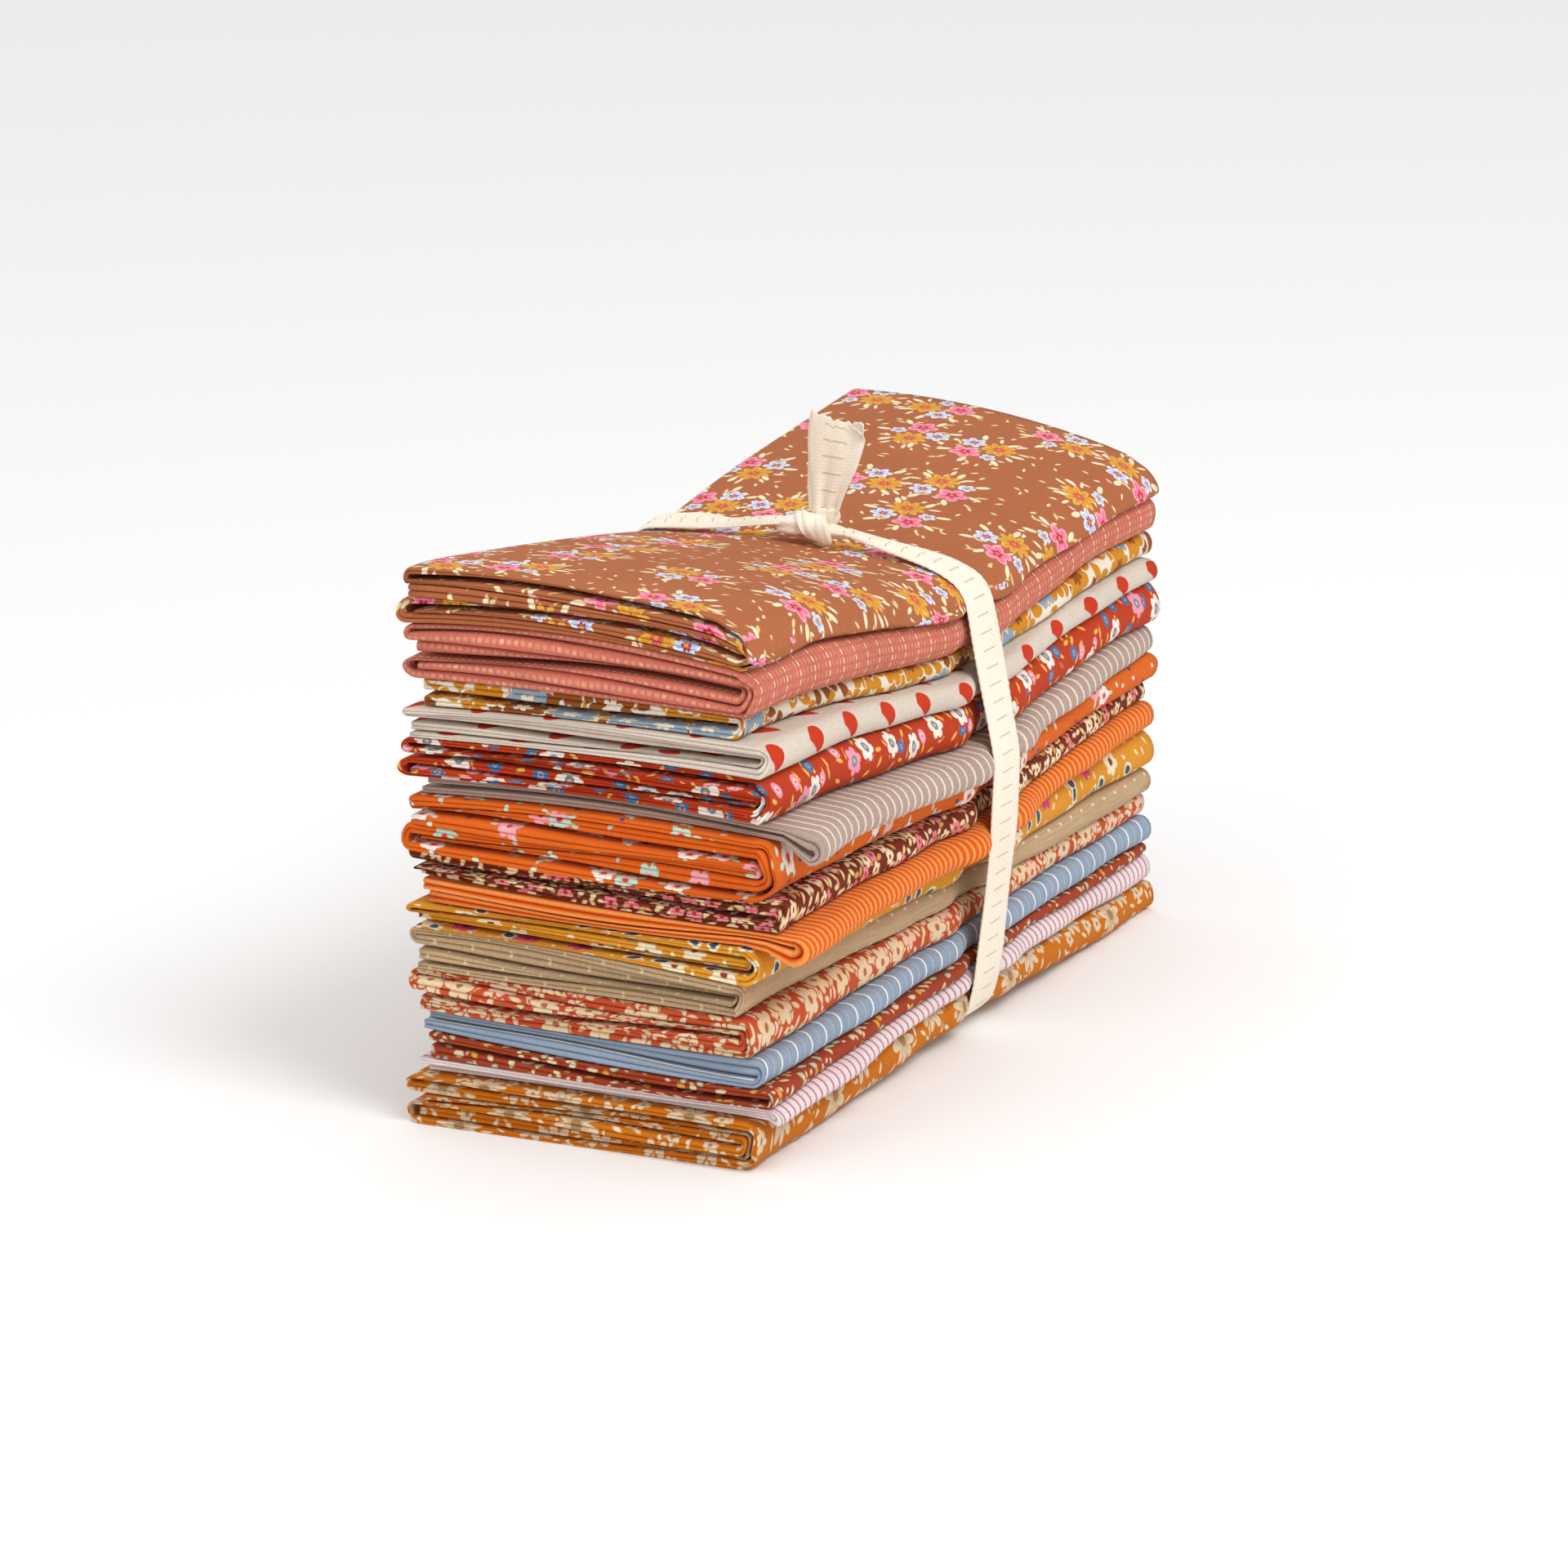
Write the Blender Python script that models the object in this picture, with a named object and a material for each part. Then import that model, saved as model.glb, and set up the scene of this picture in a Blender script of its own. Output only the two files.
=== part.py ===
"""A bundle of sixteen folded fat quarters of printed cotton, stacked and tied round the waist with a ribbon.

Each fat quarter is folded in half across its length, which gives two doubled layers with a fold at the near
end, and then back and forth across its width, which gives its plies and the rounded fold on the long front
side. Every piece here is one closed strip of its plies, a little apart, in the pinched shape that the ribbon
gives the pile. While it is built, x runs from the near end to the far end, y from the front to the back and
z up, all in millimetres. The last step moves the origin to the middle of the footprint.
"""

import math
from collections import namedtuple

import bmesh
import bpy

MM = 0.001
LENGTH = 250.0  # a fat quarter's 50 cm folded in half
BACK = 92.0  # where the back folds end; the 55 cm side folded in six
MIDDLE = 46.0  # the middle and front stations across the pile at which thicknesses are known
FRONT = 4.0
GAP = 0.36  # air between two plies, and between two pieces

# The ribbon lifts the underside and draws the top down. The front sags in a soft curve beside it, and the
# back in nearly straight slopes, like a tent's.
WAIST = 130.0
WAIST_REACH = 110.0
TENT_REACH = 124.0
TENT_CURVE = 1.25  # one would make its slopes straight
LIFT = 3.8
PRESSED = 1.0  # how much thinner than the squeeze alone would leave it the bottom piece is at the ribbon
SQUEEZE_FRONT = 0.10
SQUEEZE_BACK = 0.143
FAR_MIDDLE = 0.982  # how much of their middle thickness the pieces keep at the far end
DENT = 0.6  # how far it pushes the front folds in, over a short length
DENT_REACH = 20.0

# Stations along the pile. The first and last stretch lie flat.
STATIONS = (0.0, WAIST - WAIST_REACH, 65.0, 108.0, WAIST, 152.0, 195.0, WAIST + WAIST_REACH, LENGTH)

FRONT_STEPS = 6  # straight steps in the outermost fold of a piece
INNER_STEPS = 3
HANG_RUN = 4.0  # a drooping fold is fully down this far past its neighbour below
HANG_ROUND = 2.0  # how much longer its round end is than a flat fold's
FOLD_ROUND = 0.8  # how far a front fold bulges, in half thicknesses
BACK_ROUND = 1.2  # how deep a back fold is, in ply heights
FREE_END = 1.5  # loose ends stop this far short of the back folds
COTTON_ROUGHNESS = 0.9
NOSE = 13.0  # over this width the top piece rounds down to its front fold
NOSE_TIP = 0.35  # and what is left of its thickness there
NOSE_BEND = 7.8  # a station inside the nose, where its curve turns down

# The order in which the cloth visits its plies, counted from the bottom one, starting towards the front.
FOLDING = {2: (0, 1), 4: (0, 3, 2, 1), 6: (1, 4, 5, 0, 2, 3)}

# A row for each piece, from the top one down. back, middle and front are its thicknesses at the near end,
# and far_front is the thickness of its front at the far end. reach is the y of its front fold at the near
# and the far end, hang how far that fold droops at the near end, and inset how far its ends lie inside the
# pile's. Colours are linear red, green and blue.
Piece = namedtuple("Piece", "name plies back middle front far_front reach far_reach hang inset far_inset colour")
PIECES = (
    Piece("floral_brown", 6, 13.4, 11.5, 10.9, 9.4, -0.6, 0.0, 0.0, 0.0, 0.0, (0.462, 0.165, 0.072)),
    Piece("dashed_coral", 6, 13.8, 14.8, 12.2, 9.6, -1.2, 0.5, 0.0, 0.6, 1.0, (0.694, 0.216, 0.159)),
    Piece("blooms_cream", 2, 6.4, 5.9, 5.0, 6.9, 3.0, 1.0, 0.0, 2.0, 0.4, (0.708, 0.610, 0.462)),
    Piece("drops_grey", 4, 7.4, 7.7, 8.3, 6.6, -4.7, 0.0, 0.0, 0.8, 1.4, (0.723, 0.651, 0.578)),
    Piece("meadow_red", 6, 10.0, 10.4, 10.9, 11.9, -5.3, -0.5, 0.0, 0.4, 0.0, (0.552, 0.056, 0.014)),
    Piece("pinstripe_taupe", 2, 4.2, 3.4, 3.4, 7.1, -16.7, 0.0, 5.0, 3.0, 1.0, (0.485, 0.366, 0.305)),
    Piece("sprigs_orange", 6, 13.6, 16.0, 15.0, 8.1, -6.7, -0.5, 0.0, 0.0, 0.6, (0.745, 0.162, 0.023)),
    Piece("posies_dark", 4, 6.2, 6.8, 7.3, 6.0, -8.8, 2.0, 0.0, 1.4, 1.8, (0.195, 0.027, 0.009)),
    Piece("stripe_orange", 2, 6.5, 5.4, 4.1, 7.5, -14.6, 0.5, 4.5, 0.6, 0.8, (0.831, 0.184, 0.037)),
    Piece("motifs_mustard", 4, 6.2, 6.3, 9.4, 10.8, -2.1, 0.5, 0.0, 1.0, 0.2, (0.708, 0.296, 0.021)),
    Piece("ticks_beige", 4, 10.4, 10.3, 8.3, 7.1, 2.6, 0.0, 0.0, 1.2, 1.0, (0.546, 0.386, 0.231)),
    Piece("leaves_terracotta", 4, 10.2, 10.4, 9.9, 6.2, -1.0, 2.5, 0.0, 0.2, 1.6, (0.630, 0.127, 0.048)),
    Piece("stripe_blue", 2, 4.6, 5.9, 6.8, 7.5, -3.1, 0.5, 0.0, 1.6, 0.6, (0.328, 0.392, 0.462)),
    Piece("sprigs_rust", 2, 7.0, 5.1, 4.2, 3.3, -5.2, 1.5, 0.0, 0.8, 1.2, (0.456, 0.068, 0.025)),
    Piece("stripe_pink", 2, 4.3, 3.4, 3.4, 7.5, -7.3, 1.0, 2.5, 2.4, 0.4, (0.838, 0.651, 0.638)),
    Piece("daisies_ochre", 6, 12.4, 12.8, 12.6, 8.3, -2.4, -1.0, 0.0, 0.0, 0.0, (0.631, 0.174, 0.005)),
)
BOTTOM_UP = PIECES[::-1]

RIBBON_WIDTH = 16.0
RIBBON_THICK = 1.0
RIBBON_CLEAR = 0.6  # from the cloth
RIBBON_STEP = 14.0  # the longest straight run of its band
RIBBON_COLOUR = (0.871, 0.807, 0.687)
# Its arms over the top, from the front edge to the back: y, half of the width, bunched at the knot, and how
# far they have shifted along the pile.
TOP_ARMS = (
    (4.0, 8.0, -0.4), (14.0, 5.4, -1.6), (26.0, 2.7, -2.8), (36.0, 1.8, -4.0),
    (52.0, 2.8, -4.0), (64.0, 1.8, -3.6), (76.0, 4.6, -3.0), (88.0, 6.4, -2.2), (93.0, 8.0, -1.4),
)
TOP_DEPTH = 15.0  # what lies within this depth counts as the top
BUNCHED = 1.0  # added to its thickness where it is narrowest
ARM_RISE = 3.0  # how far the arms rise from the pile to the knot

KNOT_X = WAIST - 4.0
KNOT_Y = (34.5, 50.5)
KNOT_HEIGHT = 9.0
KNOT_DEPTH = 12.0
KNOT_RINGS = 9
KNOT_SIDES = 12
KNOT_BLUNT = 0.45  # nearer to zero, its ends are blunter
KNOT_WAIST = 0.12  # how far its middle is drawn in
KNOT_SQUARE = 0.8  # one would make its rings round
# The tails' middle line and half width: x, y and z over the knot's top, and half of the width there.
TAIL_FRONT = (
    (-0.5, 39.9, 0.9, 3.7), (0.0, 39.1, 8.0, 5.5), (1.0, 38.5, 13.0, 6.9),
    (2.0, 38.1, 19.0, 7.7), (2.5, 37.4, 24.5, 7.4),
)
TAIL_BACK = ((3.6, 43.0, 0.9, 3.0), (5.0, 42.3, 6.0, 5.1), (7.4, 41.2, 14.0, 7.0), (9.2, 39.9, 20.5, 7.2))


def smooth(t):
    t = min(1.0, max(0.0, t))
    return t * t * (3.0 - 2.0 * t)


def waist(x, reach):
    """One at the ribbon, fading to nothing at that distance from it."""
    away = abs(x - WAIST) / reach
    return math.cos(away * math.pi / 2) ** 2 if away < 1.0 else 0.0


def squeeze(x, y):
    """What the ribbon leaves of the pile's height."""
    to_back = y / BACK
    tent = max(0.0, 1.0 - abs(x - WAIST) / TENT_REACH) ** TENT_CURVE
    return 1.0 - SQUEEZE_FRONT * (1.0 - to_back) * waist(x, WAIST_REACH) - SQUEEZE_BACK * to_back * tent


def thickness(piece, x, y):
    """A piece's height where it lies in the pile, straight between the stations across it."""
    front = piece.front + (piece.far_front - piece.front) * x / LENGTH
    middle = piece.middle * (1.0 - (1.0 - FAR_MIDDLE) * x / LENGTH)
    if y < MIDDLE:
        loose = middle + (front - middle) * (MIDDLE - y) / (MIDDLE - FRONT)
    else:
        loose = middle + (piece.back - middle) * (y - MIDDLE) / (BACK - FRONT - MIDDLE)
    pressed = PRESSED * waist(x, WAIST_REACH) if piece == BOTTOM_UP[0] else 0.0
    return loose * squeeze(x, y) - pressed


def underside(index, x, y):
    """The height of the seam below a piece, counted from the bottom one."""
    return waist(x, WAIST_REACH) * LIFT - GAP / 2 + sum(thickness(p, x, y) for p in BOTTOM_UP[:index])


def fold_y(piece, x):
    """Where a piece's front fold comes to."""
    reach = piece.reach + (piece.far_reach - piece.reach) * x / LENGTH
    return reach + DENT * waist(x, DENT_REACH)


def droop(index, x, y):
    """How much taller a fold that sticks out past the piece below it has become."""
    piece = BOTTOM_UP[index]
    hang = piece.hang * (1.0 - x / LENGTH)
    return hang / thickness(piece, x, y) * smooth((droop_start(index, x) - y) / HANG_RUN) if hang else 0.0


def droop_start(index, x):
    return fold_y(BOTTOM_UP[index - 1], x) - GAP


def turn(at_y, out, first, last, radius, steps):
    """The points inside a half turn between two heights: an ellipse, bulging towards out."""
    middle = (first + last) / 2
    angles = [math.pi * i / steps for i in range(1, steps)]
    return [(at_y + out * radius * math.sin(a), middle + (first - middle) * math.cos(a)) for a in angles]


def nose(y):
    """What is left of the top piece's thickness where it rounds down to its front fold."""
    away = min(1.0, max(0.0, 1.0 - y / NOSE))
    return NOSE_TIP + (1.0 - NOSE_TIP) * math.sqrt(1.0 - away * away)


def section(index, x):
    """A piece's cross-section: pairs of (y, z) points on the two sides of its cloth, along the folding."""
    piece = BOTTOM_UP[index]
    plies = FOLDING[piece.plies]
    tip = fold_y(piece, x)
    tall = thickness(piece, x, FRONT)
    long_fold = 1.0 + (HANG_ROUND if piece.hang else 0.0) * (1.0 - x / LENGTH)
    front_radius = tall / 2 * FOLD_ROUND * long_fold
    front_y = tip + front_radius
    back_fold = thickness(piece, x, BACK) / piece.plies * BACK_ROUND
    back_y = BACK - back_fold

    def side(ply, top, y):
        pitch = thickness(piece, x, y) / piece.plies
        return (ply + 1) * pitch - GAP / 2 if top else ply * pitch + GAP / 2

    pairs = []
    for place, ply in enumerate(plies):
        to_front = place % 2 == 0
        free = place in (0, len(plies) - 1)
        across = [back_y - (FREE_END if free else 0.0), MIDDLE, front_y]
        if piece.hang:
            across.insert(2, max(droop_start(index, x), front_y + GAP))
        if piece == PIECES[0]:
            across[2:2] = [NOSE, NOSE_BEND]
        for y in across if to_front else across[::-1]:
            pairs.append(((y, side(ply, not to_front, y)), (y, side(ply, to_front, y))))
        if place == len(plies) - 1:
            break
        following = plies[place + 1]
        at_y = front_y if to_front else back_y
        out = -1.0 if to_front else 1.0
        outermost = to_front and abs(following - ply) == piece.plies - 1
        steps = (FRONT_STEPS + (2 if piece.hang else 0)) if outermost else INNER_STEPS
        sides = []
        for top in (not to_front, to_front):
            first = side(ply, top, at_y)
            last = side(following, not top, at_y)
            flat = thickness(piece, x, at_y) / 2
            ratio = front_radius / flat if to_front else 1.0
            sides.append(turn(at_y, out, first, last, ratio * abs(last - first) / 2, steps))
        pairs += zip(*sides)

    def placed(point):
        y, z = point
        top = thickness(piece, x, y)
        if piece == PIECES[0]:
            z *= nose(y)
            top *= nose(y)
        return y, underside(index, x, y) + top - (top - z) * (1.0 + droop(index, x, y))

    return [(placed(a), placed(b)) for a, b in pairs]


def stations_of(piece):
    return (piece.inset, *STATIONS[1:-1], LENGTH - piece.far_inset)


def material(name, colour, roughness):
    made = bpy.data.materials.new(name)
    made.use_nodes = True
    shader = made.node_tree.nodes["Principled BSDF"]
    shader.inputs["Base Color"].default_value = (*colour, 1.0)
    shader.inputs["Roughness"].default_value = roughness
    shader.inputs["Metallic"].default_value = 0.0
    return made


def add_object(name, bm, colour):
    bmesh.ops.recalc_face_normals(bm, faces=bm.faces)
    mesh = bpy.data.meshes.new(name)
    bm.to_mesh(mesh)
    bm.free()
    mesh.materials.append(material(name, colour, COTTON_ROUGHNESS))
    made = bpy.data.objects.new(name, mesh)
    bpy.context.scene.collection.objects.link(made)
    return made


def strip(sections):
    """A closed strip of cloth from cross-sections of paired points, each in millimetres."""
    bm = bmesh.new()
    rows = [[[bm.verts.new([MM * c for c in p]) for p in pair] for pair in row] for row in sections]
    last = len(rows[0]) - 1
    for near, far in zip(rows, rows[1:]):
        for i in range(last):
            # Every twisted patch is split along the same diagonal, so stacked layers stay parallel.
            a, b = (i, i + 1) if near[i][0].co.y >= near[i + 1][0].co.y else (i + 1, i)
            for side in (0, 1):
                bm.faces.new((near[a][side], near[b][side], far[b][side]))
                bm.faces.new((near[a][side], far[b][side], far[a][side]))
        for i in (0, last):
            bm.faces.new((near[i][0], near[i][1], far[i][1], far[i][0]))
    for row in (rows[0], rows[-1]):
        for i in range(last):
            bm.faces.new((row[i][0], row[i + 1][0], row[i + 1][1], row[i][1]))
    return bm


def fat_quarter(index):
    piece = BOTTOM_UP[index]
    sections = []
    for x in stations_of(piece):
        sections.append([[(x, *point) for point in pair] for pair in section(index, x)])
    return add_object(piece.name, strip(sections), piece.colour)


def hull(points):
    """The convex outline of (y, z) points, anticlockwise."""

    def half(ordered):
        line = []
        for p in ordered:
            while len(line) > 1 and cross(line[-2], line[-1], p) <= 0.0:
                line.pop()
            line.append(p)
        return line[:-1]

    def cross(o, a, b):
        return (a[0] - o[0]) * (b[1] - o[1]) - (a[1] - o[1]) * (b[0] - o[0])

    ordered = sorted(set(points))
    return half(ordered) + half(ordered[::-1])


def band_route():
    """The ribbon's inner line round the waist, pulled straight over the hollows, from knot to knot."""
    touched = []
    beside = max(x for x in STATIONS if x < WAIST)
    for index in range(len(BOTTOM_UP)):
        outer = [point for pair in section(index, beside) for point in pair]
        inner = [point for pair in section(index, WAIST) for point in pair]
        edge = RIBBON_WIDTH / 2 / (WAIST - beside)
        touched += inner
        touched += [tuple(b + (a - b) * edge for a, b in zip(*points)) for points in zip(outer, inner)]
    loop = hull(touched)
    route = []
    for here, after in zip(loop, loop[1:] + loop[:1]):
        pieces = math.ceil(math.dist(here, after) / RIBBON_STEP)
        for i in range(pieces):
            route.append(tuple(a + (b - a) * i / pieces for a, b in zip(here, after)))
    top = max(z for _, z in route) - TOP_DEPTH
    over = [p for p in route if p[1] > top and KNOT_Y[0] < p[0] < KNOT_Y[1]]
    first = route.index(over[-1]) + 1
    route = route[first:] + route[:first]
    route = [p for p in route if p not in over]
    at_knot = sum(z for _, z in over) / len(over)
    left = (KNOT_Y[0] - GAP, at_knot + ARM_RISE)
    right = (KNOT_Y[1] + GAP, at_knot + ARM_RISE)
    # Anticlockwise, the top runs from the front to the back when seen with y to the right, so it starts here.
    return [left, *route, right], at_knot


def outward(route, i):
    """The unit normal of a line at a point, out of an anticlockwise loop."""
    before, after = route[max(0, i - 1)], route[min(len(route) - 1, i + 1)]
    dy, dz = after[0] - before[0], after[1] - before[1]
    long = math.hypot(dy, dz)
    return dz / long, -dy / long


def arm(y, z, top):
    """Half of the ribbon's width and its shift along the pile, at a point of its route."""
    if z >= top:
        for (y0, half0, shift0), (y1, half1, shift1) in zip(TOP_ARMS, TOP_ARMS[1:]):
            if y0 <= y <= y1:
                t = (y - y0) / (y1 - y0)
                return half0 + (half1 - half0) * t, shift0 + (shift1 - shift0) * t
    return RIBBON_WIDTH / 2, 0.0


def ribbon_band(route, at_knot):
    sections = [[], []]
    for i, (y, z) in enumerate(route):
        ny, nz = outward(route, i)
        half, shift = arm(y, z, at_knot - TOP_DEPTH)
        thick = RIBBON_THICK + BUNCHED * (1.0 - 2.0 * half / RIBBON_WIDTH)
        inner = (y + ny * RIBBON_CLEAR, z + nz * RIBBON_CLEAR)
        outer = (y + ny * (RIBBON_CLEAR + thick), z + nz * (RIBBON_CLEAR + thick))
        for row, x in zip(sections, (WAIST + shift - half, WAIST + shift + half)):
            row.append(((x, *inner), (x, *outer)))
    return add_object("ribbon_band", strip(sections), RIBBON_COLOUR)


def knot(at_knot):
    """The tied knot: a squarish lump, pinched between its two ends."""
    bm = bmesh.new()
    middle = (KNOT_Y[0] + KNOT_Y[1]) / 2
    half = (KNOT_Y[1] - KNOT_Y[0]) / 2
    floor = at_knot + RIBBON_CLEAR
    rings = []
    for i in range(1, KNOT_RINGS):
        along = math.pi * i / KNOT_RINGS
        y = middle - half * math.cos(along)
        size = math.sin(along) ** KNOT_BLUNT * (1.0 - KNOT_WAIST * math.cos(2.0 * along))
        ring = []
        for k in range(KNOT_SIDES):
            angle = 2.0 * math.pi * k / KNOT_SIDES
            across, up = math.cos(angle), math.sin(angle)
            x = KNOT_X + KNOT_DEPTH / 2 * size * math.copysign(abs(across) ** KNOT_SQUARE, across)
            z = floor + KNOT_HEIGHT / 2 * (1.0 + size * math.copysign(abs(up) ** KNOT_SQUARE, up))
            ring.append(bm.verts.new((MM * x, MM * y, MM * z)))
        rings.append(ring)
    for near, far in zip(rings, rings[1:]):
        for k in range(KNOT_SIDES):
            following = (k + 1) % KNOT_SIDES
            bm.faces.new((near[k], near[following], far[following], far[k]))
    bm.faces.new(rings[0])
    bm.faces.new(rings[-1])
    return add_object("ribbon_knot", bm, RIBBON_COLOUR)


def tail(name, line, at_knot):
    """A free end of the ribbon: a flat strip that stands up from the knot."""
    foot = at_knot + RIBBON_CLEAR + KNOT_HEIGHT
    sections = [[], []]
    for x, y, z, half in line:
        for row, side in zip(sections, (-1.0, 1.0)):
            point = (KNOT_X + x, y + side * half, foot + z)
            row.append((point, (point[0] + RIBBON_THICK, *point[1:])))
    return add_object(name, strip(sections), RIBBON_COLOUR)


def centre_on_footprint(objects):
    """Moves every mesh so that the middle of the footprint is the origin and the underside lies at zero."""
    points = [v.co for o in objects for v in o.data.vertices]
    low = [min(p[axis] for p in points) for axis in range(3)]
    high = [max(p[axis] for p in points) for axis in range(3)]
    shift = ((low[0] + high[0]) / 2, (low[1] + high[1]) / 2, low[2])
    for o in objects:
        for v in o.data.vertices:
            v.co = [c - s for c, s in zip(v.co, shift)]
        o.data.update()


for old in list(bpy.data.objects):
    bpy.data.objects.remove(old, do_unlink=True)

made = [fat_quarter(index) for index in range(len(BOTTOM_UP))]
route, at_knot = band_route()
made.append(ribbon_band(route, at_knot))
made.append(knot(at_knot))
made.append(tail("ribbon_tail_front", TAIL_FRONT, at_knot))
made.append(tail("ribbon_tail_back", TAIL_BACK, at_knot))
centre_on_footprint(made)
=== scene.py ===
"""A tied bundle of sixteen folded fat quarters of printed cotton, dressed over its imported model."""

import math
from collections import namedtuple

import bpy
import numpy as np
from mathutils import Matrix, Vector


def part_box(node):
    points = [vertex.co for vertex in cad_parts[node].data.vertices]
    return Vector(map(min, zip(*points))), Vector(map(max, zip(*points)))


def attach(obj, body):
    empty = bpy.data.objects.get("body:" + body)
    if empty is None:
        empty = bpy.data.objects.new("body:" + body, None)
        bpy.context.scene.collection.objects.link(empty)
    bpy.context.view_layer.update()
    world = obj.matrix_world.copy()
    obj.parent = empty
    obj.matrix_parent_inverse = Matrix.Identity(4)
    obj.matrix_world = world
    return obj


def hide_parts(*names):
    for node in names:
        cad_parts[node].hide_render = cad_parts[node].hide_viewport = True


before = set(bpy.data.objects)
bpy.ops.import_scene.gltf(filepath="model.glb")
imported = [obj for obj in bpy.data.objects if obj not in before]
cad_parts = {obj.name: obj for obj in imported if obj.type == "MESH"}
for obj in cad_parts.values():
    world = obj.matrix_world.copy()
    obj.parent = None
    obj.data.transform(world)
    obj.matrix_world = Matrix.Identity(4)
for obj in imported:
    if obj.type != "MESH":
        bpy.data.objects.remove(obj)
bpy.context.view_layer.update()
MM = 0.001


# The studio: a pale table top in soft daylight, with one broad lamp over the camera's shoulder and a weaker
# one from the side of the doubled ends. The camera looks at the corner between the ends and the long folds.

AIM = Vector((0.0, 0.00765, 0.0636))  # the point that the camera and the lamps face
TURNED = math.radians(-64.7)  # the camera's bearing round the bundle
RAISED = math.radians(14.5)
AWAY = 1.4925
LENS = 135.5
PHOTO_SIDE = 1920
CENTRE_RIGHT = 22  # where the photograph's optical centre lies from its middle, in its pixels
CENTRE_UP = 20
SEEN_TO = 20.0  # how far the camera sees
TABLE_HALF = 6.0
TABLE_WHITE = (0.92, 0.92, 0.915, 1.0)
TABLE_ROUGHNESS = 0.8
SKY_WHITE = (1.0, 1.0, 1.0, 1.0)
SKY_STRENGTH = 0.86

looking = Vector((-math.sin(TURNED), math.cos(TURNED), -math.tan(RAISED))).normalized()
camera = bpy.data.objects.new("camera", bpy.data.cameras.new("camera"))
camera.data.lens = LENS
camera.data.shift_x = -CENTRE_RIGHT / PHOTO_SIDE
camera.data.shift_y = -CENTRE_UP / PHOTO_SIDE
camera.data.clip_end = SEEN_TO
camera.location = AIM - looking * AWAY
camera.rotation_euler = looking.to_track_quat("-Z", "Y").to_euler()
bpy.context.scene.collection.objects.link(camera)
bpy.context.scene.camera = camera
bpy.context.scene.view_settings.view_transform = "Standard"

table_mesh = bpy.data.meshes.new("table_top")
corners = [(x * TABLE_HALF, y * TABLE_HALF, 0.0) for x, y in ((-1, -1), (1, -1), (1, 1), (-1, 1))]
table_mesh.from_pydata(corners, [], [(0, 1, 2, 3)])
table_top = bpy.data.objects.new("table_top", table_mesh)
bpy.context.scene.collection.objects.link(table_top)
table_paint = bpy.data.materials.new("table_paint")
table_paint.use_nodes = True
table_shader = table_paint.node_tree.nodes["Principled BSDF"]
table_shader.inputs["Base Color"].default_value = TABLE_WHITE
table_shader.inputs["Roughness"].default_value = TABLE_ROUGHNESS
table_mesh.materials.append(table_paint)

sky = bpy.data.worlds.new("daylight")
sky.use_nodes = True
sky.node_tree.nodes["Background"].inputs["Color"].default_value = SKY_WHITE
sky.node_tree.nodes["Background"].inputs["Strength"].default_value = SKY_STRENGTH
bpy.context.scene.world = sky


def soft_lamp(name, place, across, power):
    """A round lamp at that place, which shines at the bundle."""
    lamp = bpy.data.objects.new(name, bpy.data.lights.new(name, "AREA"))
    lamp.data.shape = "DISK"
    lamp.data.size = across
    lamp.data.energy = power
    lamp.location = place
    lamp.rotation_euler = (AIM - Vector(place)).to_track_quat("-Z", "Y").to_euler()
    bpy.context.scene.collection.objects.link(lamp)


soft_lamp("lamp_over", place=(-0.5, -1.1, 1.5), across=0.9, power=15.0)
soft_lamp("lamp_side", place=(-1.6, 0.5, 0.9), across=1.1, power=3.8)


# The pile: sixteen cuts of quilting cotton, each folded in half across its length, which puts a fold at the
# near end, and then back and forth across its width. x runs along the pile from the near end, y from the
# front folds to the back and z up, in millimetres; the ribbon draws the pile in at its waist.

LENGTH = 250.0  # half of the cut's 50 cm side
BACK = 92.0  # about a sixth of its 55 cm side
MIDDLE = 46.0  # the pieces' heights are given here, at FRONT and as far behind the middle
FRONT = 4.0
GAP = 0.36  # between plies and between pieces
WAIST = 130.0  # where the ribbon is tied
WAIST_REACH = 110.0  # how far along the pile its squeeze is felt at the front
LIFT = 3.8  # how far the waist's underside comes off the table
PRESSED = 1.0  # how much the ribbon flattens the lowest piece
SQUEEZE_FRONT = 0.10  # the share of its height that every piece loses at the waist
SQUEEZE_BACK = 0.143
TENT_REACH = 124.0  # the back is squeezed in two slopes of this length
TENT_CURVE = 1.25
ROUND_RIDGE = 5.0  # rounds the valley between those slopes, under the ribbon
FAR_MIDDLE = 0.982  # the far end's height in the middle, as a share of the near end's
FOLD_ROUND = 0.8  # how deep a front fold's round is, as a share of half its height
DENT = 0.6  # how far the ribbon pushes the front folds in
DENT_REACH = 20.0
RIPPLE = 0.45  # how uneven the front folds are, in long and in short waves
FINE_RIPPLE = 0.3
PUFF = 1.7  # how far they swell out beside the ribbon
PUFF_FROM = 8.0
PUFF_TO = 30.0
PUFF_SKEW = 0.6  # brings the swelling nearer the ribbon
PUFF_UNEVEN = 0.4
HANG_RUN = 4.0  # how far past the fold below it a hanging fold has come down in full
HANG_ROUND = 2.0  # how much deeper its round is at the near end, in its own depths
FREE_END = 1.5  # how far inside the back folds the cloth's own two edges lie
FREE_END_UNEVEN = 0.8
BACK_ROUND = 1.2  # how far inside the pile's back the back folds start, in plies
BACK_RIPPLE = 0.5
WANDER = 0.15  # how far the seams between plies wander up and down, and how much more at the near end
NEAR_WANDER = 0.14
NEAR_WANDER_RUN = 25.0
FINE_WANDER = 0.11
GAPE = 0.5  # how far some of those seams open at the near end
GAPE_RUN = 14.0
NOSE = 13.0  # over this depth the top piece rounds down to the front
NOSE_TIP = 0.35  # the share of its height that is left there
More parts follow.
